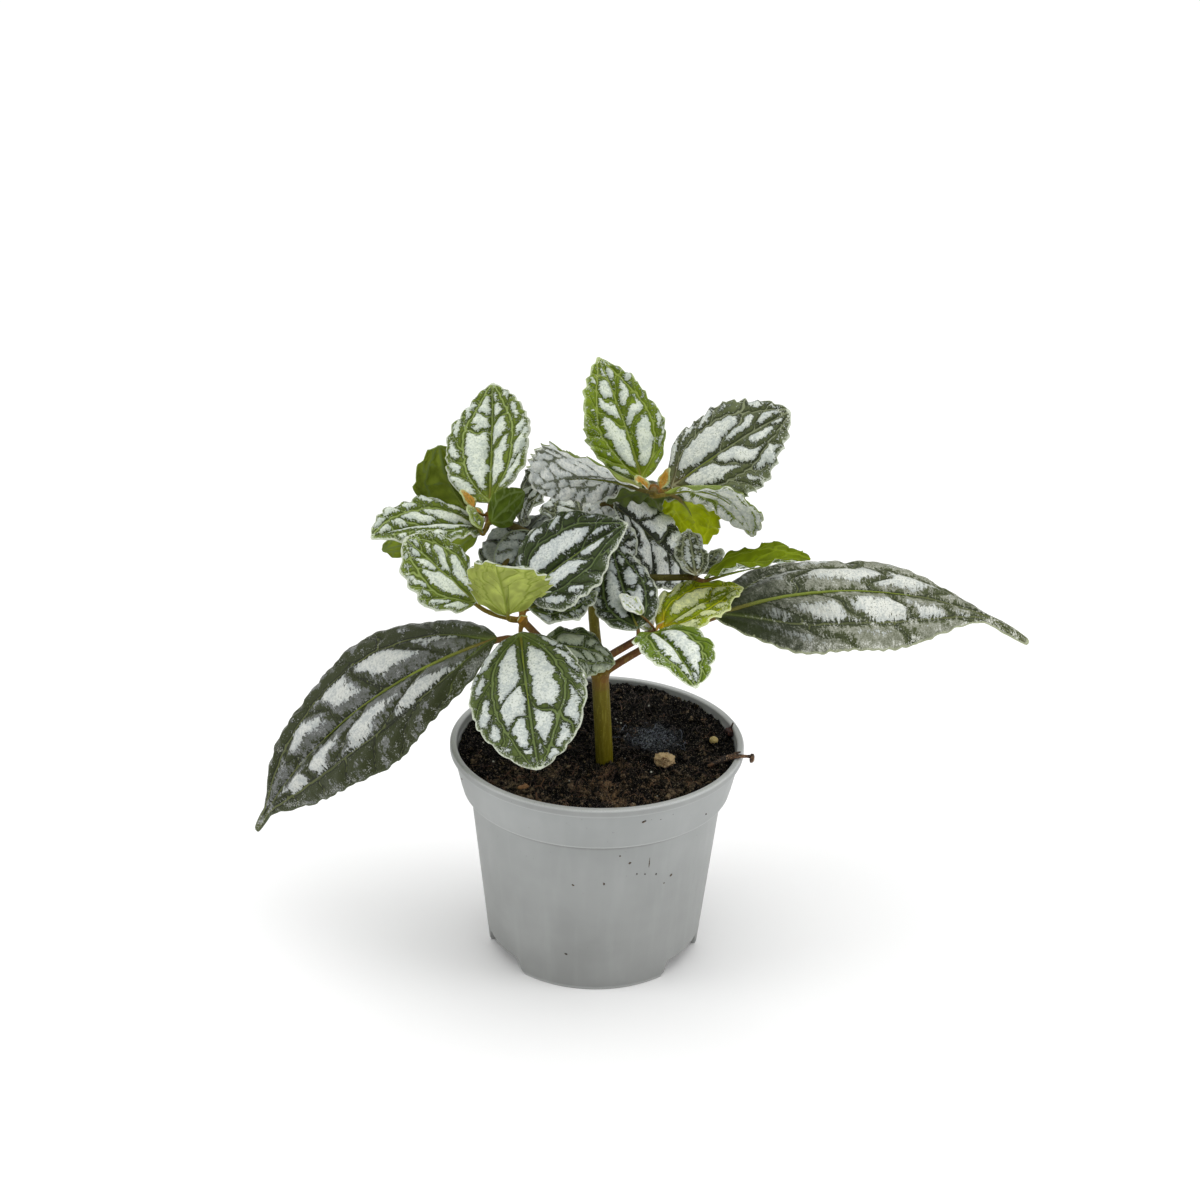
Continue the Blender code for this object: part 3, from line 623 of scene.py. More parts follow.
def leafMaterials(upper, lower):
    made = {}
    for name, look in looks.items():
        # a darker, bluer copy of the silver, for duller places and painted shade
        dull = (*[share * value for share, value in zip((0.6, 0.64, 0.68), tone(look["Silver"]))], 1.0)
        dim = (*[0.5 * value for value in tone(look["Leaf"])[:3]], 1.0)
        made[name] = (newMaterial(name + "Upper", upper, {**look, "Dull": dull}, 0.00032, 0.2),
                      newMaterial(name + "Lower", lower, {**look, "Shade": dim}, 0.00015, 0.1))
    return made


def bladePiece(name, title, leaf, seed, slot, *nodes):
    sides = leafSides[leaf.look][::-1] if name in turned else leafSides[leaf.look]
    blade = newPiece(title, bladeMesh(name, leaf, seed), sides, slot, *nodes)
    skin = blade.modifiers.new("Thickness", "SOLIDIFY")
    skin.thickness = bladeShape["thickness"] * mm
    skin.offset = 0
    skin.material_offset = 1
    skin.material_offset_rim = 0


leafSides = leafMaterials(upperSideGroup(), lowerSideGroup())
leaves = {name: leafRow(*row) for name, row in leaves.items()}
for seed, (name, leaf) in enumerate(leaves.items(), start=1):
    slot = "old_leaf" if "old" in name else "young_leaf"
    bladePiece(name, "blade_" + name, leaf, seed, slot, "leaf_" + name)
print("blades made:", len(leaves))


# Small scales between the leaf stalks at the shoots' ends, and small leaves further in.

scales = {
    "scale_left_1": ("leftTip", (-35, -1.5, 140.5), (150, 48, 30, 0), (10, 5), (6.5, 4.2), 30, "bud"),
    "scale_left_2": ("leftTip", (-31, -1.5, 142), (80, 60, -20, 0), (-20, 5), (5.5, 3.5), 30, "bud"),
    "scale_top_1": ("topTip", (13, -1, 151), (160, 55, 20, 0), (20, 5), (5.5, 4.0), 30, "bud"),
    "scale_top_2": ("topTip", (17, -0.5, 151.5), (30, 60, -10, 0), (-10, 5), (6.5, 4.2), 30, "bud"),
    "scale_front_1": ("frontTip", (-22.5, -30.5, 121.5), (-60, 60, 30, 0), (0, 5), (4.5, 2.8), 30, "bud"),
    "scale_low_1": ("lowTip", (16, -24.5, 116), (-20, 70, 20, 0), (0, 5), (5.0, 3.0), 30, "bud"),
    "small_leaf_low": ("lowTip", (14.6, -25, 117), (140, 48, -20, 0), (10, 5), (11, 6.5), 30, "mint"),
    "small_leaf_fork": ("fork", (1.5, -8.6, 129), (20, 60, 10, 0), (-60, 5), (14.5, 11.5), 14, "slate"),
    "small_leaf_top": ("topTip", (14.2, -0.6, 150), (187, 4, 30, 0), (-58, 5), (13.5, 8), 14, "slate"),
    "small_leaf_left": ("leftLow", (-20.8, -3.4, 138.4), (204, -60, 8, 0), (64, 5), (18, 13.5), 14, "dusk"),
    "small_leaf_back": ("topLow", (4.6, 5.2, 146.3), (200, -26, 6, 0), (62, 5), (13, 8.5), 14, "silver"),
}
for seed, (name, row) in enumerate(scales.items(), start=60):
    scale = leafRow(*row)
    bladePiece(name, name, scale, seed, "stem" if scale.look == "bud" else "young_leaf")


# Stem, joints, stalks and the ridges under the blades, melted into one skin.

stemShape = {  # mm, and the share of a blade where the ridge under its midrib ends
    "voxel": 0.3, "smoothing": 3, "ridgeEnd": 0.62, "ridgeSink": 0.35,
    "oldStalk": 1.25, "youngStalk": 0.8, "smallStalk": 0.5,
    "stalkSteps": 10, "ridgeSteps": 9, "runSteps": 6, "jointSize": 0.85, "jointFlatness": 0.8,
}


def spotOf(item):
    return Vector(joints[item][0] if isinstance(item, str) else item)


def stalkStrand(name, leaf):
    # from the stem joint to the blade's foot, and on under its midrib
    center = spotOf(leaf.joint)
    isSmall = leaf.size[0] <= bladeShape["smallLength"]
    size = "oldStalk" if "old" in name else "smallStalk" if isSmall else "youngStalk"
    thick, sink, end = stemShape[size], stemShape["ridgeSink"], stemShape["ridgeEnd"]
    along, _, up = (Vector(axis[0]) for axis in bladeAxes(leaf, np.array([0.0])))
    foot = Vector(leaf.foot) - up * sink
    bend = Vector(bends.get(name, foot - along * 0.35 * (foot - center).length))
    strand = []
    for i in range(stemShape["stalkSteps"]):
        t = i / stemShape["stalkSteps"]
        point = center * (1 - t) ** 2 + bend * 2 * t * (1 - t) + (foot - along * 0.6) * t * t
        strand.append((point, thick * (1.15 - 0.3 * t ** 0.5)))
    shares = np.linspace(0, end, stemShape["ridgeSteps"])
    for share, spot, lift in zip(shares, midribPoints(leaf, shares), bladeAxes(leaf, shares)[2]):
        radius = thick * 0.8 * (1 - 0.75 * share / end)
        strand.append((Vector(spot) - Vector(lift) * (sink + 0.3 * radius), max(radius, 0.3)))
    return strand


def runStrand(path, start, end):
    # a smooth line through the run's points
    spots = [spotOf(item) for item in path]
    strand = []
    count = len(spots) - 1
    for i in range(count):
        first, second = spots[i], spots[i + 1]
        slope1, slope2 = (second - spots[max(i - 1, 0)]) * 0.5, (spots[min(i + 2, count)] - first) * 0.5
        for k in range(stemShape["runSteps"]):
            t = k / stemShape["runSteps"]
            point = (first * (2 * t ** 3 - 3 * t ** 2 + 1) + slope1 * (t ** 3 - 2 * t ** 2 + t)
                     + second * (3 * t ** 2 - 2 * t ** 3) + slope2 * (t ** 3 - t ** 2))
            strand.append((point, start + (end - start) * (i + t) / count))
    strand.append((spots[-1], end))
    return strand


def stemPiece(material):
    strands = [(runStrand(path, start, end), brown, dark, 0.0) for path, start, end, brown, dark in runs]
    for name, leaf in leaves.items():
        brown = 0.85 if "old" in name or leaf.joint in ("lowTip", "rightTip") else 0.35
        strands.append((stalkStrand(name, leaf), brown, 0.8 if name in shaded else 0.1, 1.0))
    mesh = strandMesh("stemCore", [strand[0] for strand in strands], 3)
    bm = bmesh.new()
    bm.from_mesh(mesh)
    bpy.data.meshes.remove(mesh)
    for key, (center, radius, _) in joints.items():
        if key != "soil":
            flatten = Matrix.Diagonal((1, 1, stemShape["jointFlatness"], 1))
            bmesh.ops.create_uvsphere(bm, u_segments=24, v_segments=14,
                                      radius=radius * stemShape["jointSize"] * mm,
                                      matrix=Matrix.Translation(Vector(center) * mm) @ flatten)
    core = addObject("stemRaw", meshOf(bm, "stemRaw"))
    melt = core.modifiers.new("Melt", "REMESH")
    melt.mode = "VOXEL"
    melt.voxel_size = stemShape["voxel"] * mm
    mesh = evaluated(core, "stem")
    bm = bmesh.new()
    bm.from_mesh(mesh)
    for _ in range(stemShape["smoothing"]):
        bmesh.ops.smooth_vert(bm, verts=bm.verts, factor=0.5,
                              use_axis_x=True, use_axis_y=True, use_axis_z=True)
    bm.to_mesh(mesh)
    bm.free()
    colorStem(mesh, strands)
    newPiece("stem_skin", mesh, [material], "stem", "stem")


def colorStem(mesh, strands):
    # how brown, leaf-green and orange the skin is, and how dark with painted shade, from the nearest strands
    # and joint
    samples = []
    for strand, brown, dark, isStalk in strands:
        for i, (point, _) in enumerate(strand):
            samples.append((point, brown, dark, isStalk * easeBetween(9, 13, i)))
    tree = kdtree.KDTree(len(samples))
    for i, sample in enumerate(samples):
        tree.insert(sample[0], i)
    tree.balance()
    tips = [(Vector(center), radius, warmth) for center, radius, warmth in joints.values()]
    low, high = spotOf("soil"), spotOf("lowest")
    values = {"brown": [], "dark": [], "leafy": [], "blush": []}
    for vert in mesh.vertices:
        point = vert.co / mm
        near = tree.find_n(point, 3)
        weights = [1 / (distance + 0.2) for _, _, distance in near]
        total = sum(weights)
        for k, key in enumerate(("brown", "dark", "leafy"), start=1):
            values[key].append(sum(w * samples[i][k] for w, (_, i, _) in zip(weights, near)) / total)
        values["blush"].append(max(warmth * math.exp(-max((point - center).length - radius, 0) / 1.6)
                                   for center, radius, warmth in tips))
        if point.z < high.z:
            # painted shade: the trunk is darker on its left side, away from the light
            axis = low.lerp(high, (point.z - low.z) / (high.z - low.z))
            values["dark"][-1] = 0.45 * float(easeBetween(-0.6, 2.6, axis.x - point.x))
    for key in values:
        setField(mesh, key, values[key])


def stemMaterial():
    colors = {"Olive": (104, 98, 0), "Brown": (104, 62, 38), "Orange": (156, 92, 40),
              "Leaf": (124, 140, 50), "Pale": (172, 164, 70), "Dark": (36, 32, 4)}
    tree, given, where = newGroup("stemSkin", {"Roughness": 0.42}, colors)
    brown, leafy, blush, dark = fields(tree, "brown", "leafy", "blush", "dark")
    streak = grain(stretched(where, (1.0, 1.0, 0.12)), 1400, 3.0)
    speck = grain(where, 2600)
    brown = (brown + (grain(where, 120) - 0.5) * 0.3).clamped()
    body = blend(given["Olive"], given["Brown"], brown)
    body = blend(body, given["Leaf"], leafy)
    body = blend(body, given["Orange"], blush * 0.6)
    body = blend(body, given["Pale"], step(streak, 0.5, 0.75, 0.0, 0.3))
    # painted shade, from the dark field
    body = blend(body, given["Dark"], dark * 0.85)
    body = blend(body, given["Pale"], step(speck, 0.64, 0.72, 0.0, 0.5))
    closeGroup(tree, body, given["Roughness"] + speck * 0.15, streak + speck * 0.5)
    return newMaterial("stemSkin", tree, colors, 0.0002, 0.2)


stemPiece(stemMaterial())
print("stem made")


# Pot: a turned wall with a rolled lip, a collar and a foot that lifts off the ground in three places.

potShape = {  # mm and degrees; the gap's band and reach are how far in and above it the foot is lifted
    "height": 69, "rim": 45, "lipHeight": 2.6, "lipStep": 1.0, "collarHeight": 15, "collarFoot": 41.2,
    "wallTop": 38.9, "foot": 33, "wall": 1.3, "floorRaise": 5, "ringInner": 21,
    "gapTurns": (90, 210, 330), "gapHeight": 4.5, "gapHalfAngle": 20, "gapSlope": 5, "gapBand": 3.2,
    "gapReach": 3, "drains": 6, "drainRadius": 2.6, "drainCircle": 26, "drainCut": 6,
    "steps": 216, "sharpAngle": 40,
}
ledge = potShape["height"] - potShape["collarHeight"]  # where the collar steps in to the wall
lip = potShape["height"] - potShape["lipHeight"]


def wallRadius(height):
    # outer radius of the wall below the ledge, or else of the collar
    p = potShape
    if height < ledge:
        return p["foot"] + (p["wallTop"] - p["foot"]) * height / ledge
    widening = p["rim"] - p["lipStep"] - p["collarFoot"]
    return p["collarFoot"] + widening * (height - ledge) / (lip - ledge)


def arc(center, radius, first, last, count):
    # points of a round corner in the profile, from one angle to the other
    angles = [math.radians(first + (last - first) * i / count) for i in range(count + 1)]
    return [(center[0] + radius * math.cos(angle), center[1] + radius * math.sin(angle))
            for angle in angles]


def potProfile():
    # radius and height pairs in mm, down the outer side and back up the inner one
    p = potShape
    top, rim, wall, foot = p["height"], p["rim"], p["wall"], p["foot"]
    raised, ring, collarFoot, wallTop = p["floorRaise"], p["ringInner"], p["collarFoot"], p["wallTop"]
    collar = rim - p["lipStep"]
    outer = arc((rim - 0.75, top - 0.75), 0.75, 90, 0, 6) + arc((rim - 0.55, lip + 0.55), 0.55, 0, -80, 4)
    outer += arc((collar + 0.25, lip - 0.35), 0.3, 100, 180, 3) + [(collar - 0.12, lip - 1.5)]
    for share in (0.25, 0.5, 0.75):
        height = lip - 1.5 + (ledge + 1.6 - lip) * share
        outer.append((wallRadius(height), height))
    outer += arc((collarFoot - 0.75, ledge + 0.8), 0.8, 5, -70, 5)
    outer += [(wallTop + 0.35, ledge - 0.02), (wallTop + 0.04, ledge - 0.3), (wallTop - 0.02, ledge - 0.9)]
    for share in (0.15, 0.3, 0.45, 0.6, 0.72, 0.82, 0.88, 0.92, 0.96, 0.985):
        height = (ledge - 0.9) * (1 - share)
        outer.append((wallRadius(height), height))
    outer += [(foot - 0.25, 0), (foot - 2 * wall + 0.25, 0), (foot - 2 * wall, 0.3)]
    outer += [(foot - 2 * wall + 0.1, 2.5), (foot - wall - 0.25, raised), (27.5, raised)]
    outer += [(ring + 1.5, raised), (ring + 0.2, 0.4), (ring - 0.3, 0), (10, 0), (0, 0)]
    inner = [(0, wall), (ring - wall, wall), (ring, raised + wall), (foot + 0.68 - wall, raised + wall)]
    inner += [(wallTop - wall, ledge + 1.04), (collarFoot - wall, ledge + 1.95), (collar - wall, lip)]
    inner += [(rim - 0.75 - wall, top - 0.5)] + arc((rim - wall - 0.2, top - 0.5), 0.5, 180, 90, 3)
    return outer + inner


def liftFoot(mesh):
    # raises the foot in the gaps, so that the wall ends on a curve there
    p = potShape
    for vert in mesh.vertices:
        x, y, z = vert.co / mm
        if math.hypot(x, y) < p["foot"] - p["gapBand"] or z > p["gapHeight"] + p["gapReach"]:
            continue
        angle = math.degrees(math.atan2(y, x))
        off = min(abs((angle - turn + 180) % 360 - 180) for turn in p["gapTurns"])
        gap = 1 - easeBetween(p["gapHalfAngle"] - p["gapSlope"], p["gapHalfAngle"], off)
        low = p["gapHeight"] * float(gap)
        vert.co.z = max(z, low + z * 0.35) * mm if z > 0.05 else low * mm


def potPiece(material):
    p = potShape
    bm = bmesh.new()
    corners = [bm.verts.new((radius * mm, 0, height * mm)) for radius, height in potProfile()]
    edges = [bm.edges.new(pair) for pair in zip(corners, corners[1:] + corners[:1])]
    bmesh.ops.spin(bm, geom=corners + edges, axis=(0, 0, 1), cent=(0, 0, 0), angle=math.tau,
                   steps=p["steps"], use_merge=True)
    bmesh.ops.remove_doubles(bm, verts=bm.verts, dist=0.01 * mm)
    bmesh.ops.recalc_face_normals(bm, faces=bm.faces)
    mesh = meshOf(bm, "pot")
    liftFoot(mesh)
    wall = addObject("potRaw", mesh)
    bm = bmesh.new()
    radius = p["drainRadius"] * mm
    for i in range(p["drains"]):
        turn = math.tau * i / p["drains"]
        x, y = math.cos(turn) * p["drainCircle"], math.sin(turn) * p["drainCircle"]
        spot = Vector((x, y, p["floorRaise"])) * mm
        bmesh.ops.create_cone(bm, segments=32, radius1=radius, radius2=radius, depth=p["drainCut"] * mm,
                              cap_ends=True, matrix=Matrix.Translation(spot))
    drains = addObject("drains", meshOf(bm, "drains"))
    cut = wall.modifiers.new("Drains", "BOOLEAN")
    cut.operation = "DIFFERENCE"
    cut.object = drains
    mesh = evaluated(wall, "pot")
    bpy.data.objects.remove(drains, do_unlink=True)
    newPiece("pot_wall", mesh, [material], "pot", "pot")
    mesh.set_sharp_from_angle(angle=math.radians(p["sharpAngle"]))


def potMaterial():
    colors = {"Grey": (157, 160, 159), "Pale And Highlight": (204, 206, 205), "Dust And Shade": (96, 94, 88)}
    # painted shade in lines under the lip's edge and the collar: height in metres and strength
    shadeLines = ((0.0677, 0.2), (0.0531, 0.3))
    # painted highlights, with some wear, where the lip, the collar and the foot end: height, half-width and
    # strength
    edgeHighlights = ((0.0688, 0.0007, 0.95), (0.0664, 0.0006, 0.6), (0.0543, 0.0006, 0.5),
                 (0.0004, 0.0009, 0.55))
    tree, given, where = newGroup("mouldedPlastic", {"Roughness": 0.42}, colors)
    height = put(tree, "ShaderNodeSeparateXYZ", {0: where}, "Z")
    cloud = grain(where, 45, 3.0)
    flow = grain(stretched(where, (1.0, 1.0, 0.08)), 260, 3.0)
    tooling = grain(stretched(where, (0.06, 0.06, 1.0)), 900)
    skin = grain(where, 5200)
    # painted shade: darker toward the foot
    body = blend(given["Grey"], given["Dust And Shade"], step(height, -0.01, 0.072, 0.42, 0.0))
    # painted shade under the lip and the collar
    for place, share in shadeLines:
        line = step(calc("ABSOLUTE", height - place), 0.0003, 0.0012, share, 0.0)
        body = blend(body, given["Dust And Shade"], line)
    body = blend(body, given["Pale And Highlight"], step(cloud, 0.35, 0.65, 0.0, 0.12))
    body = blend(body, given["Pale And Highlight"], step(flow, 0.45, 0.75, 0.0, 0.06))
    # painted highlights along the edges
    for place, width, share in edgeHighlights:
        line = step(calc("ABSOLUTE", height - place), 0.0, width, share, 0.0)
        body = blend(body, given["Pale And Highlight"], line * step(skin, 0.3, 0.7, 0.5, 1.0))
    # dust, thicker near the rim
    dusty = step(grain(where, 700, 4.0, 0.7), 0.66, 0.74) * step(height, 0.03, 0.066, 0.15, 0.6)
    body = blend(body, given["Dust And Shade"], dusty)
    roughness = given["Roughness"] + cloud * 0.16 + dusty * 0.3
    closeGroup(tree, body, roughness, skin * 0.35 + tooling * 0.4 + flow * 0.5)
    return newMaterial("greyPlastic", tree, colors, 0.00008)


potPiece(potMaterial())
print("pot made")


# Peat: a crumbly surface with crumbs, fibres, chips, a bead of fertiliser and a twig over the rim.

soilShape = {  # mm; the rings are the height and radius of each step down the outer side
    "top": 66.3, "radius": 42.2, "cells": 176, "rings": ((56.5, 39.4), (55.4, 37.2), (6.7, 32.0)),
    "stemHole": 3.1, "nearHole": 8, "holeDepth": 11.7, "stemRoom": 4.2,
    "mound": 0.7, "bank": 1.3, "bankStart": 8, "bankEnd": 36,
}
stemFoot = spotOf("soil")


def soilHeight(x, y):
    # height of the peat's surface in mm
    low = 0.8 * swirl(x / 9, y / 9, 3.1) + 0.9 * swirl(x / 3.2, y / 3.2, 8.4)
    crumb = abs(swirl(x / 1.6, y / 1.6, 1.7)) * 1.9 + 0.7 * swirl(x / 0.7, y / 0.7, 5.9)
    mound = soilShape["mound"] * math.exp(-((x - stemFoot.x) ** 2 + (y - stemFoot.y) ** 2) / 60)
    bank = soilShape["bank"] * float(easeBetween(soilShape["bankStart"], soilShape["bankEnd"], y))
    return soilShape["top"] - 0.5 + low + crumb + mound + bank


def onSoil(x, y, above=0.0):
    return Vector((x, y, soilHeight(x, y) + above))


def soilPiece(material):
    p = soilShape
    bm = bmesh.new()
    bmesh.ops.create_grid(bm, x_segments=p["cells"], y_segments=p["cells"], size=1)
    for vert in bm.verts:
        # the square grid drawn out to a disc
        a, b = vert.co.x, vert.co.y
        if abs(a) > abs(b):
            radius, angle = a, math.pi / 4 * (b / a)
        else:
            radius, angle = b, (math.pi / 2 - math.pi / 4 * (a / b)) if b else 0.0
        radius *= p["radius"]
        vert.co = onSoil(radius * math.cos(angle), radius * math.sin(angle)) * mm
    axis = Vector((stemFoot.x, stemFoot.y, 0)) * mm
    hole = [face for face in bm.faces
            if (face.calc_center_median() - axis).to_2d().length < p["stemHole"] * mm]
    bmesh.ops.delete(bm, geom=hole, context="FACES")
    border = [edge for edge in bm.edges if edge.is_boundary]
    inner = [edge for edge in border if (edge.verts[0].co - axis).to_2d().length < p["nearHole"] * mm]
    outer = [edge for edge in border if edge not in set(inner)]
    for vert in {vert for edge in inner for vert in edge.verts}:
        away = (vert.co - axis).to_2d().normalized() * p["stemHole"] * mm
        vert.co.x, vert.co.y = axis.x + away.x, axis.y + away.y
    for ring, steps in ((inner, ((p["top"] - p["holeDepth"], p["radius"]),)), (outer, p["rings"])):
        before = p["radius"]
        for depth, radius in steps:
            made = bmesh.ops.extrude_edge_only(bm, edges=ring)["geom"]
            verts = {item for item in made if isinstance(item, bmesh.types.BMVert)}
            ring = [item for item in made
                    if isinstance(item, bmesh.types.BMEdge) and verts.issuperset(item.verts)]
            for vert in verts:
                vert.co = (vert.co.x * radius / before, vert.co.y * radius / before, depth * mm)
            before = radius
        bmesh.ops.contextual_create(bm, geom=ring)
    bmesh.ops.recalc_face_normals(bm, faces=bm.faces)
    newPiece("peat", meshOf(bm, "peat"), [material], "peat", "soil")


looseBits = {  # mm; the group is its centre and spread along x, then along y
    "crumbs": 2100, "crumbReach": 41.0, "crumbSize": 0.24, "crumbSpread": 0.72, "crumbRough": 0.26,
    "crumbStretch": ((0.7, 1.5), (0.6, 1.1), (0.5, 0.9)),
    "fibreReach": 41.2, "fibreEdge": 41.6, "fibreSteps": 7,
    "grains": 26, "grainReach": 39, "grouped": 7, "group": ((5.5, 2.5), (15, 1.5)),
}


def scatterSpot(dice, reach, center=(0, 0)):
    # a place on the peat, clear of the stem
    while True:
        x, y = dice.uniform(-reach, reach), dice.uniform(-reach, reach)
        if math.hypot(x, y) < reach:
            x, y = x + center[0], y + center[1]
            if math.hypot(x - stemFoot.x, y - stemFoot.y) > soilShape["stemRoom"]:
                return x, y


def crumbsPiece(material):
    p = looseBits
    dice = random.Random(11)
    bm = bmesh.new()
    shades = []
    for _ in range(p["crumbs"]):
        x, y = scatterSpot(dice, p["crumbReach"])
        size = p["crumbSize"] + p["crumbSpread"] * dice.random() ** 3
        place = Matrix.Translation(onSoil(x, y, 0.25 * size) * mm)
        turn = Matrix.Rotation(dice.uniform(0, math.tau), 4, Vector((dice.random(), dice.random(), 1)))
        stretch = Matrix.Diagonal((*[dice.uniform(*sides) for sides in p["crumbStretch"]], 1))
        made = bmesh.ops.create_icosphere(bm, subdivisions=2 if size > 0.6 else 1, radius=size * mm,
                                          matrix=place @ turn @ stretch)["verts"]
        roughen(dice, made, size * p["crumbRough"])
        shades += [dice.random() ** 1.6] * len(made)
    mesh = meshOf(bm, "peat_crumbs")
    setField(mesh, "shade", shades)
    newPiece("peat_crumbs", mesh, [material], "peat")


def fibreStrand(dice, x, y, length, thick):
    # a curled fibre that lies on the peat, or what of it stays inside the pot
    heading, turn, rise = dice.uniform(0, math.tau), dice.uniform(-0.5, 0.5), dice.uniform(0.0, 1.0)
    strand = []
    count = looseBits["fibreSteps"]
    for i in range(count):
        if math.hypot(x, y) > looseBits["fibreEdge"]:
            break
        bump = rise * math.sin(math.pi * i / (count - 1))
        strand.append((onSoil(x, y, 0.15 + bump), thick * (1 - 0.5 * i / count)))
        x += math.cos(heading) * length / count
        y += math.sin(heading) * length / count
        heading += turn + dice.uniform(-0.35, 0.35)
    return strand


def fibresPiece(name, material, seed, count, lengths, thick, reach=looseBits["fibreReach"], center=(0, 0)):
    dice = random.Random(seed)
    strands = []
    while len(strands) < count:
        x, y = scatterSpot(dice, reach, center)
        strand = fibreStrand(dice, x, y, dice.uniform(*lengths), dice.uniform(*thick))
        if len(strand) > 3:
            strands.append(strand)
    newPiece(name, strandMesh(name, strands, 0), [material], "peat")


def lumpPiece(name, material, center, size, turn, seed, rough, square=1.0):
    # a broken chip or bead: a lump, stretched and worn; below 1, square gives it flatter sides
    bm = bmesh.new()
    bmesh.ops.create_icosphere(bm, subdivisions=4, radius=1)
    for vert in bm.verts:
        vert.co = [math.copysign(abs(value) ** square, value) for value in vert.co]
    place = Matrix.Translation(Vector(center) * mm) @ Matrix.Rotation(math.radians(turn), 4, "Z")
    stretch = Matrix.Diagonal((*[side * mm for side in size], 1))
    bmesh.ops.transform(bm, verts=bm.verts, matrix=place @ stretch)
    for vert in bm.verts:
        x, y, z = vert.co / mm
        push = swirl(x * 0.9, y * 0.9, z * 1.5 + seed) + 0.5 * swirl(x * 2.3, y * 2.3, seed)
        vert.co += (vert.co - Vector(center) * mm).normalized() * push * rough * mm
    newPiece(name, meshOf(bm, name), [material], "peat")


def peatGroup():
    numbers = {"Roughness": 0.82, "Lift": 0.0, "Rust Amount": 0.0}
    tree, given, where = newGroup("peatGrain", numbers, ("Dark", "Brown", "Pale", "Haze", "Rust"))
    shade = fields(tree, "shade")[0]
    lump = grain(where, 420, 4.0, 0.6)
    fine = grain(where, 2600, 3.0, 0.65)
    patch = grain(where, 110)
    share = lump + given["Lift"] + patch * 0.7 - 0.2 + shade * 0.3 + (fine - 0.5) * 0.8
    # lighter toward the front, and rusty in one patch there
    depth = put(tree, "ShaderNodeSeparateXYZ", {0: where}, "Y")
    share = share + step(depth, -0.028, 0.012, 0.07, -0.15)
    rusty = step(distanceTo(where, (0.006, -0.025, 0.067)), 0.003, 0.02, 1.0, 0.0) * given["Rust Amount"]
    rusty = rusty * step(patch, 0.4, 0.6, 0.3, 1.0)
    brown = blend(given["Brown"], given["Rust"], rusty)
    body = blend(given["Dark"], brown, step(share + rusty * 0.04, 0.7, 1.02))
    body = blend(body, given["Pale"], step(fine, 0.58, 0.7, 0.0, 0.75))
    # a faint bloom of salts to the right of the stem
    bloom = step(distanceTo(where, (0.0175, 0.0065, 0.0668)), 0.002, 0.0115, 1.0, 0.0)
    body = blend(body, given["Haze"], bloom * step(fine, 0.42, 0.66) * 0.65)
    return closeGroup(tree, body, given["Roughness"] - lump * 0.25, lump * 0.6 + fine)


rust = {"Rust": (136, 104, 72), "Rust Amount": 0.6}
peatTones = {  # dark, brown, pale and hazy tones; lift to the pale ones; relief in metres; more; specular
    "dampPeat": ((5, 4, 4), (118, 102, 80), (190, 178, 156), (176, 186, 200), 0.0, 0.0008, rust, 0.1),
    "peatCrumb": ((5, 4, 4), (118, 102, 80), (190, 178, 156), (176, 186, 200), 0.01, 0.0004, rust, 0.1),
    "driedPeat": ((5, 4, 4), (92, 76, 58), (190, 178, 156), (176, 186, 200), 0.16, 0.0001, rust),
    "darkFibre": ((40, 27, 18), (98, 66, 42), (130, 104, 78), (110, 110, 110), 0.12, 0.0001, {}),
    "paleFibre": ((104, 74, 50), (150, 114, 80), (186, 156, 120), (150, 150, 150), 0.14, 0.0001, {}),
    "saltThread": ((96, 102, 114), (160, 168, 184), (214, 220, 230), (176, 186, 200), 0.2, 0.0001, {}),
    "rustFibre": ((36, 24, 16), (126, 94, 64), (192, 160, 120), (150, 150, 150), 0.1, 0.0001, {}),
    "barkChip": ((122, 84, 48), (226, 196, 146), (250, 234, 198), (190, 170, 140), 0.3, 0.0008, {}),
    "rustyChip": ((122, 84, 48), (150, 108, 64), (206, 170, 120), (190, 170, 140), 0.1, 0.0006, {}),
    "redBark": ((44, 16, 10), (134, 58, 34), (190, 122, 80), (190, 170, 140), 0.1, 0.0003, {}),
    "twigBark": ((34, 22, 14), (126, 92, 62), (216, 188, 150), (190, 170, 140), 0.12, 0.0004, {}),
    "beadSkin": ((150, 128, 70), (196, 176, 112), (214, 200, 150), (190, 180, 150), 0.4, 0.0001,
                 {"Roughness": 0.55}),
    "paleGrain": ((150, 150, 140), (196, 196, 186), (216, 216, 206), (190, 190, 190), 0.36, 0.0001, {}),
}
fibreRows = (  # name, material, seed, count, lengths and thicknesses in mm; reach and centre of a bunch
    ("dark_fibres", "darkFibre", 5, 300, (2, 9), (0.09, 0.22)),
    ("pale_fibres", "paleFibre", 8, 60, (2, 6), (0.07, 0.15)),
    ("salt_threads", "saltThread", 14, 30, (2, 5), (0.06, 0.13), 11.5, (17, 6)),
    ("rust_fibres", "rustFibre", 17, 64, (1.5, 4), (0.07, 0.14), 12, (7, -25)),
)
lumpRows = (  # name, material, centre and half-sizes in mm, turn in degrees, seed, roughness, squareness
    ("bark_chip", "barkChip", (20.5, -10.9, 67.9), (3.0, 2.4, 1.8), -20, 4, 0.9, 0.75),
    ("small_chip", "rustyChip", (-21.5, -28, 67), (1.7, 0.9, 0.6), 40, 9, 0.4, 0.7),
    ("red_chip", "redBark", (41.0, 9.0, 67.7), (1.0, 1.9, 1.1), 15, 6, 0.6, 0.8),
    ("fertiliser_bead", "beadSkin", (35.9, 3.2, 67.6), (1.35, 1.3, 1.25), 0, 2, 0.06),
)
peat = peatGroup()
peatLooks = {}
for name, (dark, brown, pale, haze, lift, relief, more, *specular) in peatTones.items():
    values = {"Dark": dark, "Brown": brown, "Pale": pale, "Haze": haze, "Lift": lift, **more}
    peatLooks[name] = newMaterial(name, peat, values, relief, *specular)
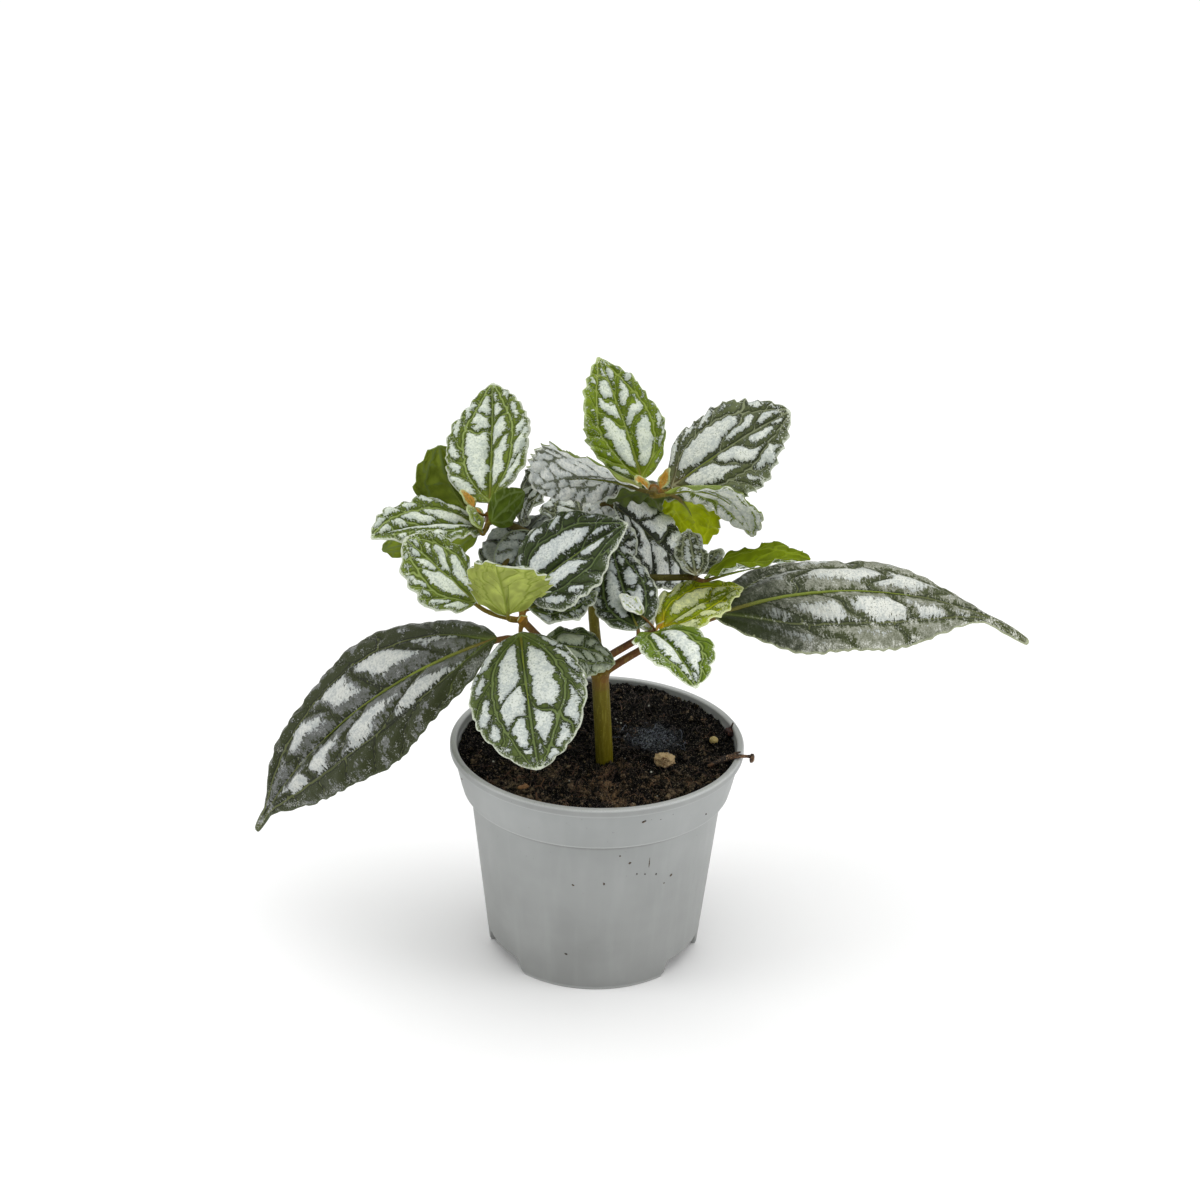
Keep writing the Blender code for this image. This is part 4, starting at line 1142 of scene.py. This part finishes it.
soilPiece(peatLooks["dampPeat"])
crumbsPiece(peatLooks["peatCrumb"])
for name, material, *plan in fibreRows:
    fibresPiece(name, peatLooks[material], *plan)
for name, material, *plan in lumpRows:
    lumpPiece(name, peatLooks[material], *plan)

twigShape = (  # points and radii in mm: the twig that leans out over the rim, its fork, its knot, a splinter
    (((33.6, -12.4, 66.9), 0.45), ((36.2, -11.6, 67.7), 0.75), ((39.3, -10.8, 68.9), 0.95),
     ((41.2, -10.9, 69.6), 0.8), ((43.3, -11.2, 69.9), 0.62), ((45.2, -11.5, 70.0), 0.5),
     ((46.6, -11.6, 70.0), 0.6), ((47.2, -11.7, 70.0), 0.4)),
    (((38.4, -11, 68.6), 0.5), ((40.6, -10.3, 69.6), 0.55), ((42.4, -10, 70.3), 0.45),
     ((43.4, -9.8, 70.6), 0.2)),
    (((46.8, -11.0, 70.5), 0.5), ((46.8, -11.6, 70.0), 0.6), ((46.6, -12.6, 69.3), 0.75),
     ((46.6, -13.1, 69.0), 0.5)),
    (((41.0, 9.6, 67.4), 0.5), ((41.6, 9.5, 69.2), 0.4), ((42.0, 9.4, 70.6), 0.2)),
)


def twigPiece(material):
    mesh = strandMesh("twig", twigShape, 3)
    bm = bmesh.new()
    bm.from_mesh(mesh)
    bmesh.ops.remove_doubles(bm, verts=bm.verts, dist=0.001 * mm)
    for vert in bm.verts:
        x, y, z = vert.co / mm
        vert.co += Vector((swirl(x, y, z), swirl(y, z, x), 0)) * 0.25 * mm
    bm.to_mesh(mesh)
    bm.free()
    newPiece("twig", mesh, [material], "peat")


def grainsPiece(material):
    # a few pale grains in the peat, some of them in a group at the back
    p = looseBits
    dice = random.Random(3)
    bm = bmesh.new()
    for i in range(p["grains"]):
        if i < p["grouped"]:
            x, y = (center + dice.gauss(0, spread) for center, spread in p["group"])
        else:
            x, y = scatterSpot(dice, p["grainReach"])
        size = dice.uniform(0.16, 0.4)
        made = bmesh.ops.create_icosphere(bm, subdivisions=2, radius=size * mm,
                                          matrix=Matrix.Translation(onSoil(x, y, 0.25) * mm))
        roughen(dice, made["verts"], size * 0.12)
    newPiece("pale_grains", meshOf(bm, "pale_grains"), [material], "peat")


wallMarks = (  # specks of peat on the pot: angle in degrees, height in mm, size in mm
    (-71, 63.7, 0.62), (-58.7, 64.1, 0.3), (-38.9, 58.3, 0.34), (-78.8, 49.9, 0.3), (-74.1, 47, 0.34),
    (-60.6, 41, 0.28), (-70.4, 42.6, 0.26), (-66.4, 42, 0.24), (-51.9, 38.8, 0.36), (-55.6, 36.7, 0.22),
    (-99.6, 39.1, 0.3), (-85.5, 40, 0.32), (-103.5, 12.9, 0.34), (-64, 63.2, 0.2), (-68, 63.9, 0.24),
    (35, 60, 0.3), (80, 45, 0.3), (130, 58, 0.35), (170, 40, 0.28), (-160, 62, 0.3),
    (110, 63, 0.32), (10, 30, 0.25),
)
wallSmear = (-64.7, ((44.2, 0.06), (45.4, 0.16), (46.6, 0.12), (47.8, 0.05)))  # angle; heights and radii


def marksPiece(material):
    dice = random.Random(21)
    bm = bmesh.new()
    for angle, height, size in wallMarks:
        out = Vector((math.cos(math.radians(angle)), math.sin(math.radians(angle)), 0))
        spot = out * (wallRadius(height) + 0.05) + Vector((0, 0, height))
        lean = out.to_track_quat("Z", "Y").to_matrix().to_4x4()
        place = Matrix.Translation(spot * mm) @ lean @ Matrix.Rotation(dice.uniform(0, 3), 4, "Z")
        stretch = Matrix.Diagonal((dice.uniform(0.8, 1.6), 0.8, 0.35, 1))
        made = bmesh.ops.create_icosphere(bm, subdivisions=2, radius=size * mm, matrix=place @ stretch)
        roughen(dice, made["verts"], size * 0.1)
    turn = math.radians(wallSmear[0])
    smear = [((math.cos(turn) * wallRadius(height), math.sin(turn) * wallRadius(height), height), radius)
             for height, radius in wallSmear[1]]
    mesh = strandMesh("smear", [smear], 2)
    bm.from_mesh(mesh)
    bpy.data.meshes.remove(mesh)
    newPiece("wall_specks", meshOf(bm, "wall_specks"), [material], "peat")


twigPiece(peatLooks["twigBark"])
grainsPiece(peatLooks["paleGrain"])
marksPiece(peatLooks["driedPeat"])
print("peat made")


# Floor, light and camera.

cameraPlan = {  # metres, degrees and mm
    "place": (0, -0.6, 0.38), "down": 23.77, "roll": 1.19, "lens": 66.06,
}
studio = {  # metres, watts and degrees
    "floorSize": 6, "floorDrop": 0.0001,
    "lamps": {"left": ((-1.1, -0.25, 0.6), 3.4), "right": ((1.1, -0.25, 0.6), 3.8)}, "lampSize": 0.7,
    "target": (0, 0, 0.09), "ceiling": 1.75, "ceilingAngle": 75, "ceilingTilt": -3,
    "room": 0.47, "backdrop": 1.0,
}


def makeFloor():
    bm = bmesh.new()
    bmesh.ops.create_grid(bm, x_segments=1, y_segments=1, size=studio["floorSize"])
    bmesh.ops.translate(bm, verts=bm.verts, vec=(0, 0, -studio["floorDrop"]))
    floor = addObject("floor", meshOf(bm, "floor"))
    paint = bpy.data.materials.new("palePaper")
    paint.use_nodes = True
    cloud = grain(put(paint.node_tree, "ShaderNodeTexCoord", {}, "Object"), 2.0)
    feed(paint.node_tree.nodes["Principled BSDF"], {
        "Base Color": blend((0.98, 0.98, 0.98, 1), (0.99, 0.99, 0.99, 1), cloud), "Roughness": 0.9,
        "Specular IOR Level": 0.0,
    })
    floor.data.materials.append(paint)


def makeLights():
    for name, (place, power) in studio["lamps"].items():
        lamp = bpy.data.lights.new(name, "AREA")
        lamp.shape = "DISK"
        lamp.size = studio["lampSize"]
        lamp.energy = power
        thing = addObject(name, lamp)
        thing.location = place
        aim = Vector(studio["target"]) - Vector(place)
        thing.rotation_euler = aim.to_track_quat("-Z", "Y").to_euler()
    sun = bpy.data.lights.new("ceiling", "SUN")
    sun.energy = studio["ceiling"]
    sun.angle = math.radians(studio["ceilingAngle"])
    addObject("ceiling", sun).rotation_euler = (math.radians(studio["ceilingTilt"]), 0, 0)
    # the backdrop is white to the camera and softer as light
    world = bpy.data.worlds.new("studio")
    world.use_nodes = True
    seen = put(world.node_tree, "ShaderNodeLightPath", {}, "Is Camera Ray")
    strength = step(seen, 0.0, 1.0, studio["room"], studio["backdrop"])
    feed(world.node_tree.nodes["Background"], {"Color": (1, 1, 1, 1), "Strength": strength})
    bpy.context.scene.world = world


def makeCamera():
    down, roll = math.radians(cameraPlan["down"]), math.radians(cameraPlan["roll"])
    forward = Vector((0, math.cos(down), -math.sin(down)))
    lifted = Vector((0, math.sin(down), math.cos(down)))
    right = Vector((math.cos(roll), 0, 0)) + lifted * math.sin(roll)
    up = Vector((-math.sin(roll), 0, 0)) + lifted * math.cos(roll)
    camera = bpy.data.cameras.new("camera")
    camera.lens = cameraPlan["lens"]
    camera.sensor_fit = "HORIZONTAL"
    camera.clip_start = 0.01
    thing = addObject("camera", camera)
    turn = Matrix((right, up, -forward)).transposed().to_4x4()
    thing.matrix_world = Matrix.Translation(cameraPlan["place"]) @ turn
    bpy.context.scene.camera = thing


makeFloor()
makeLights()
makeCamera()
bpy.context.scene.view_settings.view_transform = "Standard"

print("scene made")
